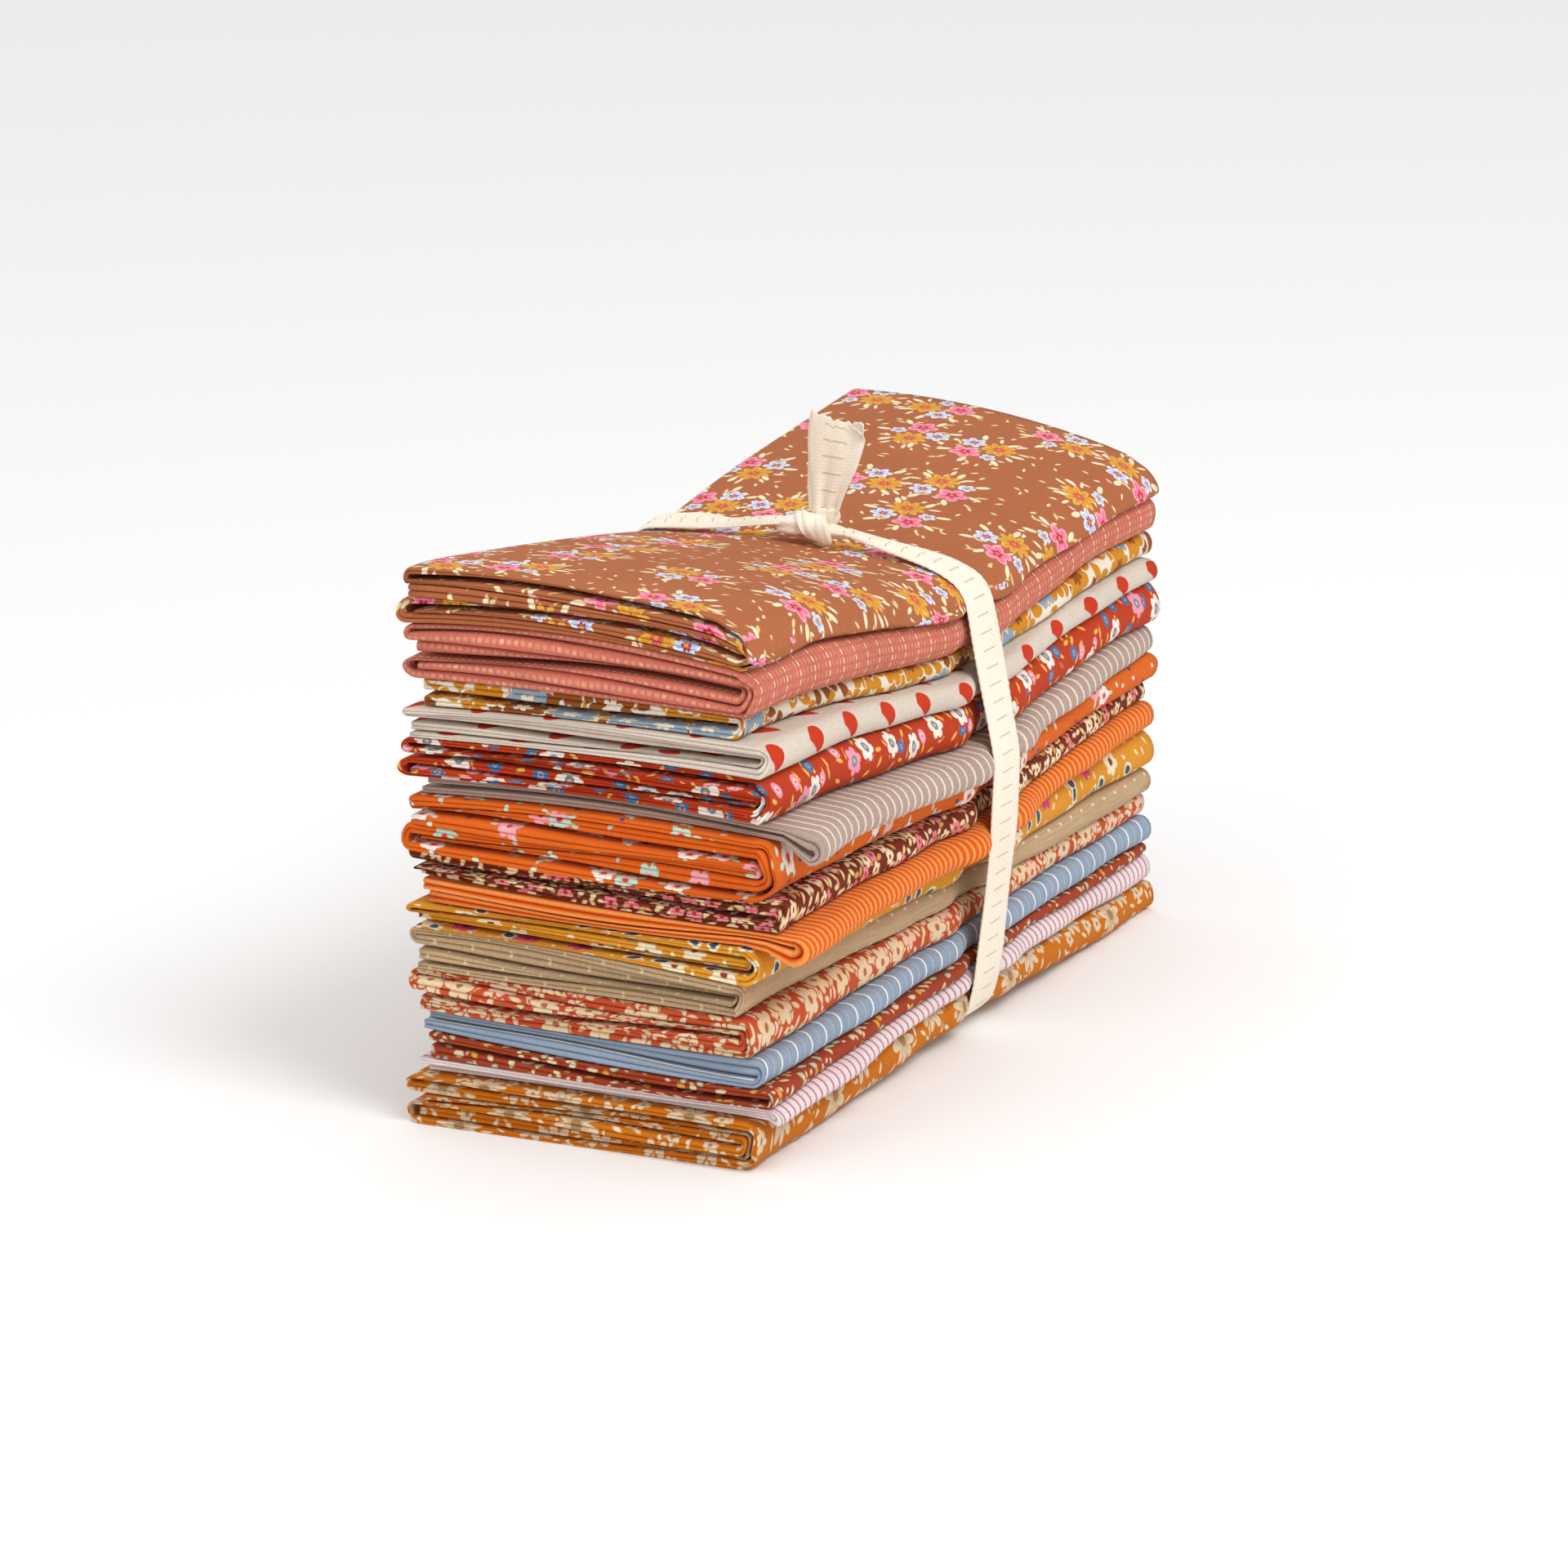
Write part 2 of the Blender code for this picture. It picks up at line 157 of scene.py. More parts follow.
FOLDING = {2: (0, 1), 4: (0, 3, 2, 1), 6: (1, 4, 5, 0, 2, 3)}  # the plies' levels, in the cloth's own order
PLY_STEPS = 16  # points across a ply, and round a fold that joins two plies, which a bigger fold has more of
ROUND_STEPS = 8

# From the bottom up: plies, heights at the back, middle and front of the near end and at the front of the far
# end, where the front fold comes to at both ends, how far it hangs, and how far the two ends lie inside.
Cut = namedtuple("Cut", "plies back middle front far_front tip far_tip hang inset far_inset")
CUTS = {
    "daisies_ochre": Cut(6, 12.4, 12.8, 12.6, 8.3, -2.4, -1.0, 0.0, 0.0, 0.0),
    "stripe_pink": Cut(2, 4.3, 3.4, 3.4, 7.5, -7.3, 1.0, 2.5, 2.4, 0.4),
    "sprigs_rust": Cut(2, 7.0, 5.1, 4.2, 3.3, -5.2, 1.5, 0.0, 0.8, 1.2),
    "stripe_blue": Cut(2, 4.6, 5.9, 6.8, 7.5, -3.1, 0.5, 0.0, 1.6, 0.6),
    "leaves_terracotta": Cut(4, 10.2, 10.4, 9.9, 6.2, -1.0, 2.5, 0.0, 0.2, 1.6),
    "ticks_beige": Cut(4, 10.4, 10.3, 8.3, 7.1, 2.6, 0.0, 0.0, 1.2, 1.0),
    "motifs_mustard": Cut(4, 6.2, 6.3, 9.4, 10.8, -2.1, 0.5, 0.0, 1.0, 0.2),
    "stripe_orange": Cut(2, 6.5, 5.4, 4.1, 7.5, -14.6, 0.5, 4.5, 0.6, 0.8),
    "posies_dark": Cut(4, 6.2, 6.8, 7.3, 6.0, -8.8, 2.0, 0.0, 1.4, 1.8),
    "sprigs_orange": Cut(6, 13.6, 16.0, 15.0, 8.1, -6.7, -0.5, 0.0, 0.0, 0.6),
    "pinstripe_taupe": Cut(2, 4.2, 3.4, 3.4, 7.1, -16.7, 0.0, 5.0, 3.0, 1.0),
    "meadow_red": Cut(6, 10.0, 10.4, 10.9, 11.9, -5.3, -0.5, 0.0, 0.4, 0.0),
    "drops_grey": Cut(4, 7.4, 7.7, 8.3, 6.6, -4.7, 0.0, 0.0, 0.8, 1.4),
    "blooms_cream": Cut(2, 6.4, 5.9, 5.0, 6.9, 3.0, 1.0, 0.0, 2.0, 0.4),
    "dashed_coral": Cut(6, 13.8, 14.8, 12.2, 9.6, -1.2, 0.5, 0.0, 0.6, 1.0),
    "floral_brown": Cut(6, 13.4, 11.5, 10.9, 9.4, -0.6, 0.0, 0.0, 0.0, 0.0),
}
ORDER = list(CUTS)


def waist(x, reach):
    """How much of the ribbon's squeeze is felt at x: one under it, and nothing from its reach on."""
    away = np.abs(x - WAIST) / reach
    return np.where(away < 1.0, np.cos(np.minimum(away, 1.0) * math.pi / 2) ** 2, 0.0)


def thickness(name, x, y):
    """A cut's height in the pile, on a parabola through its three stations across the pile."""
    cut = CUTS[name]
    front = cut.front + (cut.far_front - cut.front) * x / LENGTH
    middle = cut.middle * (1.0 - (1.0 - FAR_MIDDLE) * x / LENGTH)
    t = (y - MIDDLE) / (MIDDLE - FRONT)
    loose = middle + (cut.back - front) / 2 * t + ((cut.back + front) / 2 - middle) * t * t
    tent = np.maximum(0.0, 1.0 - np.hypot(x - WAIST, ROUND_RIDGE) / TENT_REACH) ** TENT_CURVE
    sag = SQUEEZE_FRONT * (1.0 - y / BACK) * waist(x, WAIST_REACH) + SQUEEZE_BACK * y / BACK * tent
    pressed = PRESSED * waist(x, WAIST_REACH) if name == ORDER[0] else 0.0
    return loose * (1.0 - sag) - pressed


def seam_below(name, x, y):
    """How high a cut lies on the cuts below it and on the lifted waist."""
    low = waist(x, WAIST_REACH) * LIFT - GAP / 2
    for lower in ORDER[: ORDER.index(name)]:
        low = low + thickness(lower, x, y)
    return low


def waves(x, along, y=0.0, across=1.0, phase=0.0):
    """A soft unevenness between -1 and 1, whose waves are 2 pi times as long as it says, along and across."""
    return np.sin(x / along + y / across + phase)


def fold_tip(name, x):
    """Where the front fold comes to, a little uneven along the pile. The phase sets the pieces apart."""
    cut = CUTS[name]
    phase = 2.4 * ORDER.index(name)
    ripple = RIPPLE * waves(x, along=17.0, phase=phase) + FINE_RIPPLE * waves(x, along=7.3, phase=2.0 * phase)
    beside = np.clip((np.abs(x - WAIST) - PUFF_FROM) / (PUFF_TO - PUFF_FROM), 0.0, 1.0) ** PUFF_SKEW
    puff = PUFF * np.sin(np.pi * beside) * (1.0 + PUFF_UNEVEN * math.sin(5.0 * phase))
    return cut.tip + (cut.far_tip - cut.tip) * x / LENGTH + DENT * waist(x, DENT_REACH) + ripple - puff


def droop(name, x, y):
    """How much taller a fold that sticks out past the cut below it has become."""
    hang = CUTS[name].hang
    if not hang:
        return 0.0 * (x + y)
    start = fold_tip(ORDER[ORDER.index(name) - 1], x) - GAP
    t = np.clip((start - y) / HANG_RUN, 0.0, 1.0)
    return hang * (1.0 - x / LENGTH) / thickness(name, x, y) * t * t * (3.0 - 2.0 * t)


def section(name, x):
    """Both sides of a cut's plies at the stations x, by station, column and y or z, and each column's ply."""
    plies = FOLDING[CUTS[name].plies]
    count = len(plies)
    seed = ORDER.index(name)
    x = np.asarray(x, float)[:, None]
    tall = thickness(name, x, FRONT)
    fuller = 1.0 + (HANG_ROUND if CUTS[name].hang else 0.0) * (1.0 - x / LENGTH)
    front_radius = tall / 2 * FOLD_ROUND * fuller
    front_y = fold_tip(name, x) + front_radius
    back_y = BACK - thickness(name, x, BACK) / count * BACK_ROUND
    back_y = back_y + BACK_RIPPLE * waves(x, along=23.0, phase=1.7 * seed)

    def height(seam, above, y):
        """A side of the gap at one of the seams between plies, which wander a little."""
        inner = 0 < seam < count
        wander = WANDER + NEAR_WANDER * np.exp(-x / NEAR_WANDER_RUN)
        wander = wander * waves(x, along=19.0, y=y, across=27.0, phase=2.1 * seam + seed)
        wander = wander + FINE_WANDER * waves(x, along=-41.0, y=y, across=13.0, phase=1.3 * seam + seed)
        level = (seam + (wander if inner else 0.0)) * thickness(name, x, y) / count
        open_here = GAPE * max(0.0, math.sin(2.3 * seam + 1.7 * seed + 2.3)) * np.exp(-x / GAPE_RUN)
        away = GAP / 2 + (open_here if inner else 0.0)
        return level + (away if above else -away)

    def side(ply, top, y):
        """The upper or the lower side of a ply."""
        return height(ply + 1, False, y) if top else height(ply, True, y)

    sides = ([], [])
    of_ply = []
    for place, ply in enumerate(plies):
        to_front = place % 2 == 0
        free = place in (0, count - 1)
        start = back_y - (FREE_END + FREE_END_UNEVEN * math.sin(5.0 * ply + seed) if free else 0.0)
        y = start + (front_y - start) * np.linspace(0.0, 1.0, PLY_STEPS)
        if not to_front:
            y = y[:, ::-1]
        for points, top in zip(sides, (not to_front, to_front)):
            points.append(np.stack([y, side(ply, top, y)], axis=-1))
        of_ply += [float(ply)] * PLY_STEPS
        if place == count - 1:
            break
        following = plies[place + 1]
        at_y = front_y if to_front else back_y
        steps = ROUND_STEPS + 2 * (abs(following - ply) - 1)
        angle = np.pi * np.arange(1, steps) / steps
        for points, top in zip(sides, (not to_front, to_front)):
            first, last = side(ply, top, at_y), side(following, not top, at_y)
            ratio = front_radius / (thickness(name, x, at_y) / 2) if to_front else 1.0
            bulge = ratio * np.abs(last - first) / 2 * (-1.0 if to_front else 1.0)
            z = (first + last) / 2 + (first - last) / 2 * np.cos(angle)
            points.append(np.stack([at_y + bulge * np.sin(angle), z], axis=-1))
        of_ply += list(ply + (following - ply) * angle / np.pi)
    placed = []
    for points in sides:
        joined = np.concatenate(points, axis=1)
        y, z = joined[..., 0], joined[..., 1]
        top = thickness(name, x, y)
        if name == ORDER[-1]:
            away = np.clip(1.0 - y / NOSE, 0.0, 1.0)
            nose = NOSE_TIP + (1.0 - NOSE_TIP) * np.sqrt(1.0 - away * away)
            z = z * nose
            top = top * nose
        z = seam_below(name, x, y) + top - (top - z) * (1.0 + droop(name, x, y))
        placed.append(np.stack([y, z], axis=-1))
    return placed[0], placed[1], np.array(of_ply)


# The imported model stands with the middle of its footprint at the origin, and the taupe piece comes furthest
# to the front of it.
TAUPE = CUTS["pinstripe_taupe"]
SHIFT_Y = TAUPE.tip * (1.0 - TAUPE.inset / LENGTH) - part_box("pinstripe_taupe")[0][1] / MM


def to_row(points):
    """Points of the pile, in millimetres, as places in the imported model."""
    return (np.asarray(points, float) - (LENGTH / 2, SHIFT_Y, 0.0)) * MM


# One fat quarter in the pile: a thin cotton sheet on its solid's plies, from its far edges to the near end,
# where each ply turns back in small folds. Its UVs are the flat cloth's own measure in metres, u across the
# folding and v along the pile, so a print runs on over every fold.

CLOTH = 0.3  # the cotton's own thickness
END_ROUNDS = 10  # the steps in which a ply turns back at the near end
ONE_FOLD = "dashed_coral"  # its plies turn back in one fold each, the others' in two with a crease between
CREASE = 1.3  # how deep that crease runs, in plies' half thicknesses
ALONG = np.r_[0.0, 1.2, 3.0, 6.0, 10.0, 15.0, np.arange(21.0, 98.0, 7.0), np.arange(100.0, 160.0, 3.0),
              np.arange(163.0, 243.0, 7.0), 246.0, 250.0]
RAW_EDGE = 225.0  # from here to the far end the plies' edges drift apart
EDGE_DRIFT = 0.5
END_RUN = 40.0  # over this length the near end's folds fade into the even pile
END_UNEVEN = 1.2  # how far those folds lie one before the other, and how uneven each one is
END_RIPPLE = 0.5


def grid_object(name, points, uv, material):
    """A mesh of a grid of points, with the flat cloth's own measure in metres as its UVs."""
    rows, columns = points.shape[:2]
    index = np.arange(rows * columns).reshape(rows, columns)
    quads = np.stack([index[:-1, :-1], index[:-1, 1:], index[1:, 1:], index[1:, :-1]], axis=-1).reshape(-1, 4)
    mesh = bpy.data.meshes.new(name)
    mesh.from_pydata(to_row(points.reshape(-1, 3)).tolist(), [], quads.tolist())
    layer = mesh.uv_layers.new(name="cloth")
    layer.data.foreach_set("uv", uv.reshape(-1, 2)[quads.reshape(-1)].ravel())
    mesh.polygons.foreach_set("use_smooth", [True] * len(quads))
    mesh.materials.append(material)
    made = bpy.data.objects.new(name, mesh)
    bpy.context.scene.collection.objects.link(made)
    return made


def turned_back(angle, in_one):
    """How far up and how far out the end of a ply has come in its turn, in its half thicknesses."""
    if in_one:
        return math.cos(angle), math.sin(angle)
    if math.isclose(angle, math.pi / 2):
        return 0.0, -CREASE
    # The first fold brings it half of the way down, and the second one the rest.
    level = math.cos(2.0 * angle) / 2
    return (0.5 + level if angle < math.pi / 2 else -0.5 - level), abs(math.sin(2.0 * angle)) / 2


def fold_cut(name, material):
    """Builds one fat quarter and ties it to its solid. The factors of the seed set the pieces apart."""
    inset, far_inset = CUTS[name].inset, CUTS[name].far_inset
    seed = ORDER.index(name)
    x = inset + (LENGTH - far_inset - inset) * ALONG / LENGTH
    side_a, side_b, ply = section(name, x)
    columns = np.arange(side_a.shape[1])
    uneven = END_UNEVEN * np.sin(2.2 * ply + 1.9 * seed) + END_RIPPLE * np.sin(columns / 4.1 + seed)
    fade = np.clip(1.0 - ALONG / END_RUN, 0.0, 1.0)[:, None] ** 2
    far = np.clip((ALONG - RAW_EDGE) / (LENGTH - RAW_EDGE), 0.0, 1.0)[:, None]
    place = x[:, None] + uneven * fade + EDGE_DRIFT * np.sin(1.7 * ply + seed) * far

    # The measure across the folding starts where the outermost front fold comes furthest forward, and
    # follows whichever side of the cloth is the outer one.
    halfway = len(x) // 2
    midway = (side_a + side_b)[halfway] / 2
    a_steps, b_steps = (np.linalg.norm(np.diff(s[halfway], axis=0), axis=1) for s in (side_a, side_b))
    across = np.concatenate([[0.0], np.cumsum(np.maximum(a_steps, b_steps))])
    across = across - across[np.argmin(midway[:, 0])]

    near = (side_a[0] + side_b[0]) / 2
    half = (side_a[0] - side_b[0]) / 2
    radius = np.linalg.norm(half, axis=-1)
    rounds = []
    for angle in np.pi * np.arange(1, END_ROUNDS) / END_ROUNDS:
        up, out = turned_back(angle, name == ONE_FOLD)
        end_x = place[0] - radius * out
        rounds.append(np.concatenate([end_x[:, None], near + half * up], axis=-1))
    one_side = np.concatenate([place[..., None], side_a], axis=-1)[::-1]
    other_side = np.concatenate([place[..., None], side_b], axis=-1)
    points = np.concatenate([one_side, np.stack(rounds), other_side], axis=0)
    # The rounded ends stand where the solid's square ones do.
    shift = np.concatenate([fade[::-1, 0], np.ones(END_ROUNDS - 1), fade[:, 0]])
    depth = radius * (1.0 if name == ONE_FOLD else 0.5)
    points[..., 0] += depth[None, :] * shift[:, None]
    girth = float(np.median(radius)) * np.pi
    turn = girth / 2 - girth * np.arange(1, END_ROUNDS) / END_ROUNDS
    v = np.concatenate([x[::-1] + girth / 2, turn, -x - girth / 2])
    uv = np.stack(np.broadcast_arrays(across[None, :], v[:, None]), axis=-1) * MM
    made = grid_object(name + "_cloth", points, uv, material)
    solidify = made.modifiers.new("cotton", "SOLIDIFY")
    solidify.thickness = CLOTH * MM
    solidify.offset = -1.0
    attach(made, "root")
    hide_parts(name)


class Shade:
    """One socket of a material's nodes. Plain arithmetic on it adds Math nodes."""

    def __init__(self, tree, socket):
        self.tree = tree
        self.socket = socket

    def add(self, kind, settings=None, inputs=None, output=0):
        """Adds any node: its type, its settings, then its sockets' values or links."""
        made = self.tree.nodes.new(kind)
        for setting, value in (settings or {}).items():
            setattr(made, setting, value)
        for key, value in (inputs or {}).items():
            if isinstance(value, Shade):
                self.tree.links.new(value.socket, made.inputs[key])
            else:
                made.inputs[key].default_value = value
        return Shade(self.tree, made.outputs[output])

    def output(self, name):
        """Another output of the same node."""
        return Shade(self.tree, self.socket.node.outputs[name])

    def math(self, operation, *others):
        """This value and others through a Math node."""
        return self.add("ShaderNodeMath", {"operation": operation}, dict(enumerate((self, *others))))

    def vector(self, operation, other=(0.0, 0.0, 0.0), output="Vector"):
        """This vector and another one through a Vector Math node."""
        return self.add("ShaderNodeVectorMath", {"operation": operation}, {0: self, 1: other}, output)

    def __add__(self, other):
        return self.math("ADD", other)

    def __sub__(self, other):
        return self.math("SUBTRACT", other)

    def __mul__(self, other):
        return self.math("MULTIPLY", other)

    def __truediv__(self, other):
        return self.math("DIVIDE", other)

    def __radd__(self, other):
        return self.math("ADD", other)

    def __rmul__(self, other):
        return self.math("MULTIPLY", other)

    def __rsub__(self, other):
        return self.add("ShaderNodeMath", {"operation": "SUBTRACT"}, {0: other, 1: self})

    def below(self, limit, soft):
        """One where this is under the limit, fading to nothing over a soft edge."""
        settings = {"operation": "MULTIPLY_ADD", "use_clamp": True}
        return self.add("ShaderNodeMath", settings, {0: self, 1: -1.0 / soft, 2: limit / soft + 0.5})

    def over(self, under, colour):
        """A colour laid over another one, where this mask is one."""
        return self.add("ShaderNodeMix", {"data_type": "RGBA"}, {0: self, 6: under, 7: colour}, 2)

    def part(self, axis):
        """One of a vector's three numbers."""
        return self.add("ShaderNodeSeparateXYZ", {}, {0: self}, axis)


def paint(code):
    """A colour's six hex digits as linear red, green, blue and alpha."""
    parts = [int(code[i : i + 2], 16) / 255 for i in (0, 2, 4)]
    return (*[c / 12.92 if c <= 0.04045 else ((c + 0.055) / 1.055) ** 2.4 for c in parts], 1.0)


def flat_cloth(name):
    """A new cotton material, and the place on its flat cloth in millimetres."""
    made = bpy.data.materials.new(name)
    made.use_nodes = True
    uv = Shade(made.node_tree, None).add("ShaderNodeUVMap", {"uv_map": "cloth"})
    return made, uv.add("ShaderNodeVectorMath", {"operation": "SCALE"}, {0: uv, "Scale": 1.0 / MM})


SEED_STEP = (31.7, 17.3)  # how far apart on the flat cloth two scatters' patterns are taken


def scatter(at, pitch, jitter, seed):
    """The place about the middle of the nearest of many scattered motifs, and three dice for each motif."""
    moved = at.vector("ADD", (SEED_STEP[0] * seed, SEED_STEP[1] * seed, 0.0))
    inputs = {"Vector": moved, "Scale": 1.0 / pitch, "Randomness": jitter}
    dice = moved.add("ShaderNodeTexVoronoi", {"voronoi_dimensions": "2D"}, inputs, "Color")
    local = moved.vector("SUBTRACT", dice.output("Position"))
    angle = dice.part(0) * (2.0 * math.pi)
    about_z = {"rotation_type": "Z_AXIS"}
    return local.add("ShaderNodeVectorRotate", about_z, {"Vector": local, "Angle": angle}), dice


def flower(at, radius, petals, depth=0.34, soft=0.3):
    """The mask of a flower with rounded petals."""
    x = at.part(0)
    y = at.part(1)
    wave = (y.math("ARCTAN2", x) * (petals / 2)).math("SINE").math("ABSOLUTE")
    reach = wave * (radius * depth) + radius * (1.0 - depth)
    return (at.vector("LENGTH", output="Value") - reach).below(0.0, soft)


def spot(at, long, wide, soft=0.3):
    """The mask of an oval with those half sizes."""
    squeezed = at.vector("DIVIDE", (long, wide, 1.0)).vector("LENGTH", output="Value")
    return squeezed.below(1.0, soft / wide)


def sprays(at, count, reach, long, wide, soft=0.25):
    """The mask of a ring of leaves that point away from its middle."""
    x = at.part(0)
    y = at.part(1)
    slot = y.math("ARCTAN2", x) * (count / (2.0 * math.pi))
    angle = (slot.math("FRACT") - 0.5) * (2.0 * math.pi / count)
    radius = at.vector("LENGTH", output="Value")
    along = (radius * angle.math("COSINE") - reach) / long
    aside = radius * angle.math("SINE") / wide
    return (along * along + aside * aside).math("SQRT").below(1.0, soft / wide)


def lines(value, pitch, width, soft=0.3):
    """The mask of lines across a value, one in each pitch."""
    away = ((value / pitch).math("FRACT") - 0.5).math("ABSOLUTE") * pitch
    return away.below(width / 2, soft)


def chosen(dice, axis, share):
    """One for that share of the motifs."""
    return dice.part(axis).below(share, 0.01)


def mottle(at, scale, detail, drawn=None, dimensions="2D", distortion=0.0):
    """Soft uneven patches over the cloth, drawn out along its threads where that is given."""
    stretched = at.vector("MULTIPLY", drawn) if drawn else at
    inputs = {"Vector": stretched, "Scale": scale, "Detail": detail, "Distortion": distortion}
    return at.add("ShaderNodeTexNoise", {"noise_dimensions": dimensions}, inputs)


THREAD = 0.42  # the pitch of the weave's threads


def weave(material, at, colour, thread=THREAD, depth=0.05, crinkle=0.16, uneven=0.10, sheen=0.03):
    """Ends a cotton material: its colour a little uneven, over fine threads and soft creases."""
    tree = material.node_tree
    shader = tree.nodes["Principled BSDF"]
    shader.inputs["Roughness"].default_value = 0.88
    shader.inputs["Specular IOR Level"].default_value = 0.12
    shader.inputs["Sheen Weight"].default_value = sheen
    shader.inputs["Sheen Roughness"].default_value = 0.6
    broad = mottle(at, scale=0.035, detail=3.0)
    slub = mottle(at, scale=1.7, detail=2.0, drawn=(1.0, 0.18, 1.0))
    grain = mottle(at, scale=1.1, detail=3.0)
    shade = 1.0 + (broad - 0.5) * (2.0 * uneven) + (slub - 0.5) * uneven + (grain - 0.5) * (2.4 * uneven)
    grey = shade.add("ShaderNodeCombineXYZ", {}, {0: shade, 1: shade, 2: shade})
    multiply = {"data_type": "RGBA", "blend_type": "MULTIPLY"}
    worn = grey.add("ShaderNodeMix", multiply, {0: 1.0, 6: colour, 7: grey}, 2)
    tree.links.new(worn.socket, shader.inputs["Base Color"])
    weft = (at.part(0) * (2.0 * math.pi / thread)).math("SINE")
    warp = (at.part(1) * (2.0 * math.pi / thread)).math("SINE")
    creases = mottle(at, scale=0.09, detail=2.5, distortion=0.6)
    height = weft * warp * depth + slub * depth + creases * (crinkle * 4.0)
    bump = height.add("ShaderNodeBump", {}, {"Strength": 1.0, "Distance": MM, "Height": height})
    tree.links.new(bump.socket, shader.inputs["Normal"])
    return material


# The lowest piece: ochre cotton, printed with cream daisies, small flowers and leaves, in six plies. The
# whole bundle stands on its two ends. Here as in the other prints, sizes are in millimetres of flat cloth.

cotton, at = flat_cloth("daisies_ochre")
ground, leaf = paint("C9700C"), paint("E6D4B0")
petal, inner_petal, heart = paint("DDC6A6"), paint("CDB08A"), paint("A67C50")
place, _ = scatter(at, pitch=5.0, jitter=0.9, seed=1)
colour = spot(place, long=1.5, wide=0.5).over(ground, leaf)
place, _ = scatter(at, pitch=9.5, jitter=0.7, seed=2)
colour = flower(place, radius=2.2, petals=5).over(colour, petal)
colour = spot(place, long=0.6, wide=0.6).over(colour, heart)
place, _ = scatter(at, pitch=17.0, jitter=0.6, seed=3)
colour = flower(place, radius=7.2, petals=9, depth=0.42).over(colour, ground)
colour = flower(place, radius=6.1, petals=9, depth=0.5).over(colour, petal)
colour = flower(place, radius=3.4, petals=9, depth=0.5).over(colour, inner_petal)
colour = spot(place, long=1.5, wide=1.5).over(colour, heart)
fold_cut("daisies_ochre", weave(cotton, at, colour))


# Thin shirting, woven in narrow white and pink stripes. Its front fold sticks out and hangs a little over the
# ochre piece.

cotton, at = flat_cloth("stripe_pink")
STRIPE_PITCH = 3.2
colour = lines(at.part(1), STRIPE_PITCH, width=1.1, soft=0.4).over(paint("F1E4E2"), paint("C08E9C"))
between = lines(at.part(1) + STRIPE_PITCH / 2, STRIPE_PITCH, width=0.5, soft=0.4)
colour = between.over(colour, paint("E8D2D6"))
fold_cut("stripe_pink", weave(cotton, at, colour))


# Rust cotton, printed with small leaves in pale green, cream and mustard, and folded flat between two striped
# pieces.

cotton, at = flat_cloth("sprigs_rust")
place, dice = scatter(at, pitch=4.4, jitter=0.75, seed=4)
green_or_cream = chosen(dice, 1, share=0.55).over(paint("E2CDA8"), paint("B9C7A4"))
tint = chosen(dice, 2, share=0.18).over(green_or_cream, paint("D9A040"))
colour = spot(place, long=1.3, wide=0.75).over(paint("A03E20"), tint)
place, dice = scatter(at, pitch=3.1, jitter=1.0, seed=5)
colour = (spot(place, long=0.7, wide=0.4) * chosen(dice, 1, share=0.5)).over(colour, paint("E9C9A4"))
fold_cut("sprigs_rust", weave(cotton, at, colour))


# Blue-grey chambray, crossed by thin white lines, with paler lines between them. It is one of the two-ply
# pieces, and its threads differ in colour along their length.

cotton, at = flat_cloth("stripe_blue")
streak = mottle(at, scale=0.8, detail=2.0, drawn=(0.05, 1.0, 1.0), dimensions="3D")
colour = (streak - 0.1).over(paint("7F93AB"), paint("A9B6C4"))
LINE_PITCH = 8.6
colour = lines(at.part(1), LINE_PITCH, width=0.75).over(colour, paint("EEF0F0"))
colour = lines(at.part(1) + LINE_PITCH / 2, LINE_PITCH, width=0.3).over(colour, paint("B9C6D3"))
fold_cut("stripe_blue", weave(cotton, at, colour))


# Terracotta cotton, crowded with printed cream flowers and leaves, which leave little of its ground bare. It
# is folded in four plies.

cotton, at = flat_cloth("leaves_terracotta")
ground, cream, blush = paint("C4502A"), paint("E6CDA6"), paint("EDC0A6")
place, _ = scatter(at, pitch=4.0, jitter=0.85, seed=6)
colour = spot(place, long=1.6, wide=0.6).over(ground, cream)
place, _ = scatter(at, pitch=6.3, jitter=0.8, seed=7)
colour = sprays(place, count=3, reach=1.7, long=1.4, wide=0.65).over(colour, cream)
place, dice = scatter(at, pitch=11.0, jitter=0.6, seed=8)
colour = flower(place, radius=4.6, petals=6, depth=0.4).over(colour, ground)
tint = chosen(dice, 1, share=0.35).over(cream, blush)
colour = flower(place, radius=4.0, petals=6, depth=0.4).over(colour, tint)
colour = spot(place, long=0.9, wide=0.9).over(colour, paint("B7683F"))
fold_cut("leaves_terracotta", weave(cotton, at, colour))


# Beige slubbed cotton, woven with short cream ticks in rows that step along the cloth. Its front fold lies a
# little behind those of its neighbours.

cotton, at = flat_cloth("ticks_beige")
TICK_ROWS = 5.2
TICK_PITCH = 7.4
streak = mottle(at, scale=1.3, detail=3.0, drawn=(1.0, 0.06, 1.0), dimensions="3D")
colour = streak.over(paint("B5946A"), paint("DBBE9A"))
rows = lines(at.part(0), TICK_ROWS, width=0.7)
row_number = (at.part(0) / TICK_ROWS).math("FLOOR")
ticks = lines(at.part(1) + row_number * (TICK_PITCH / 2), TICK_PITCH, width=1.3)
colour = (rows * ticks).over(colour, paint("F2E2B4"))
fold_cut("ticks_beige", weave(cotton, at, colour, depth=0.08))


# Mustard cotton, printed with navy ovals ringed in cream and with pink and cream flowers. Its four plies are
# thicker at the front than at the back.

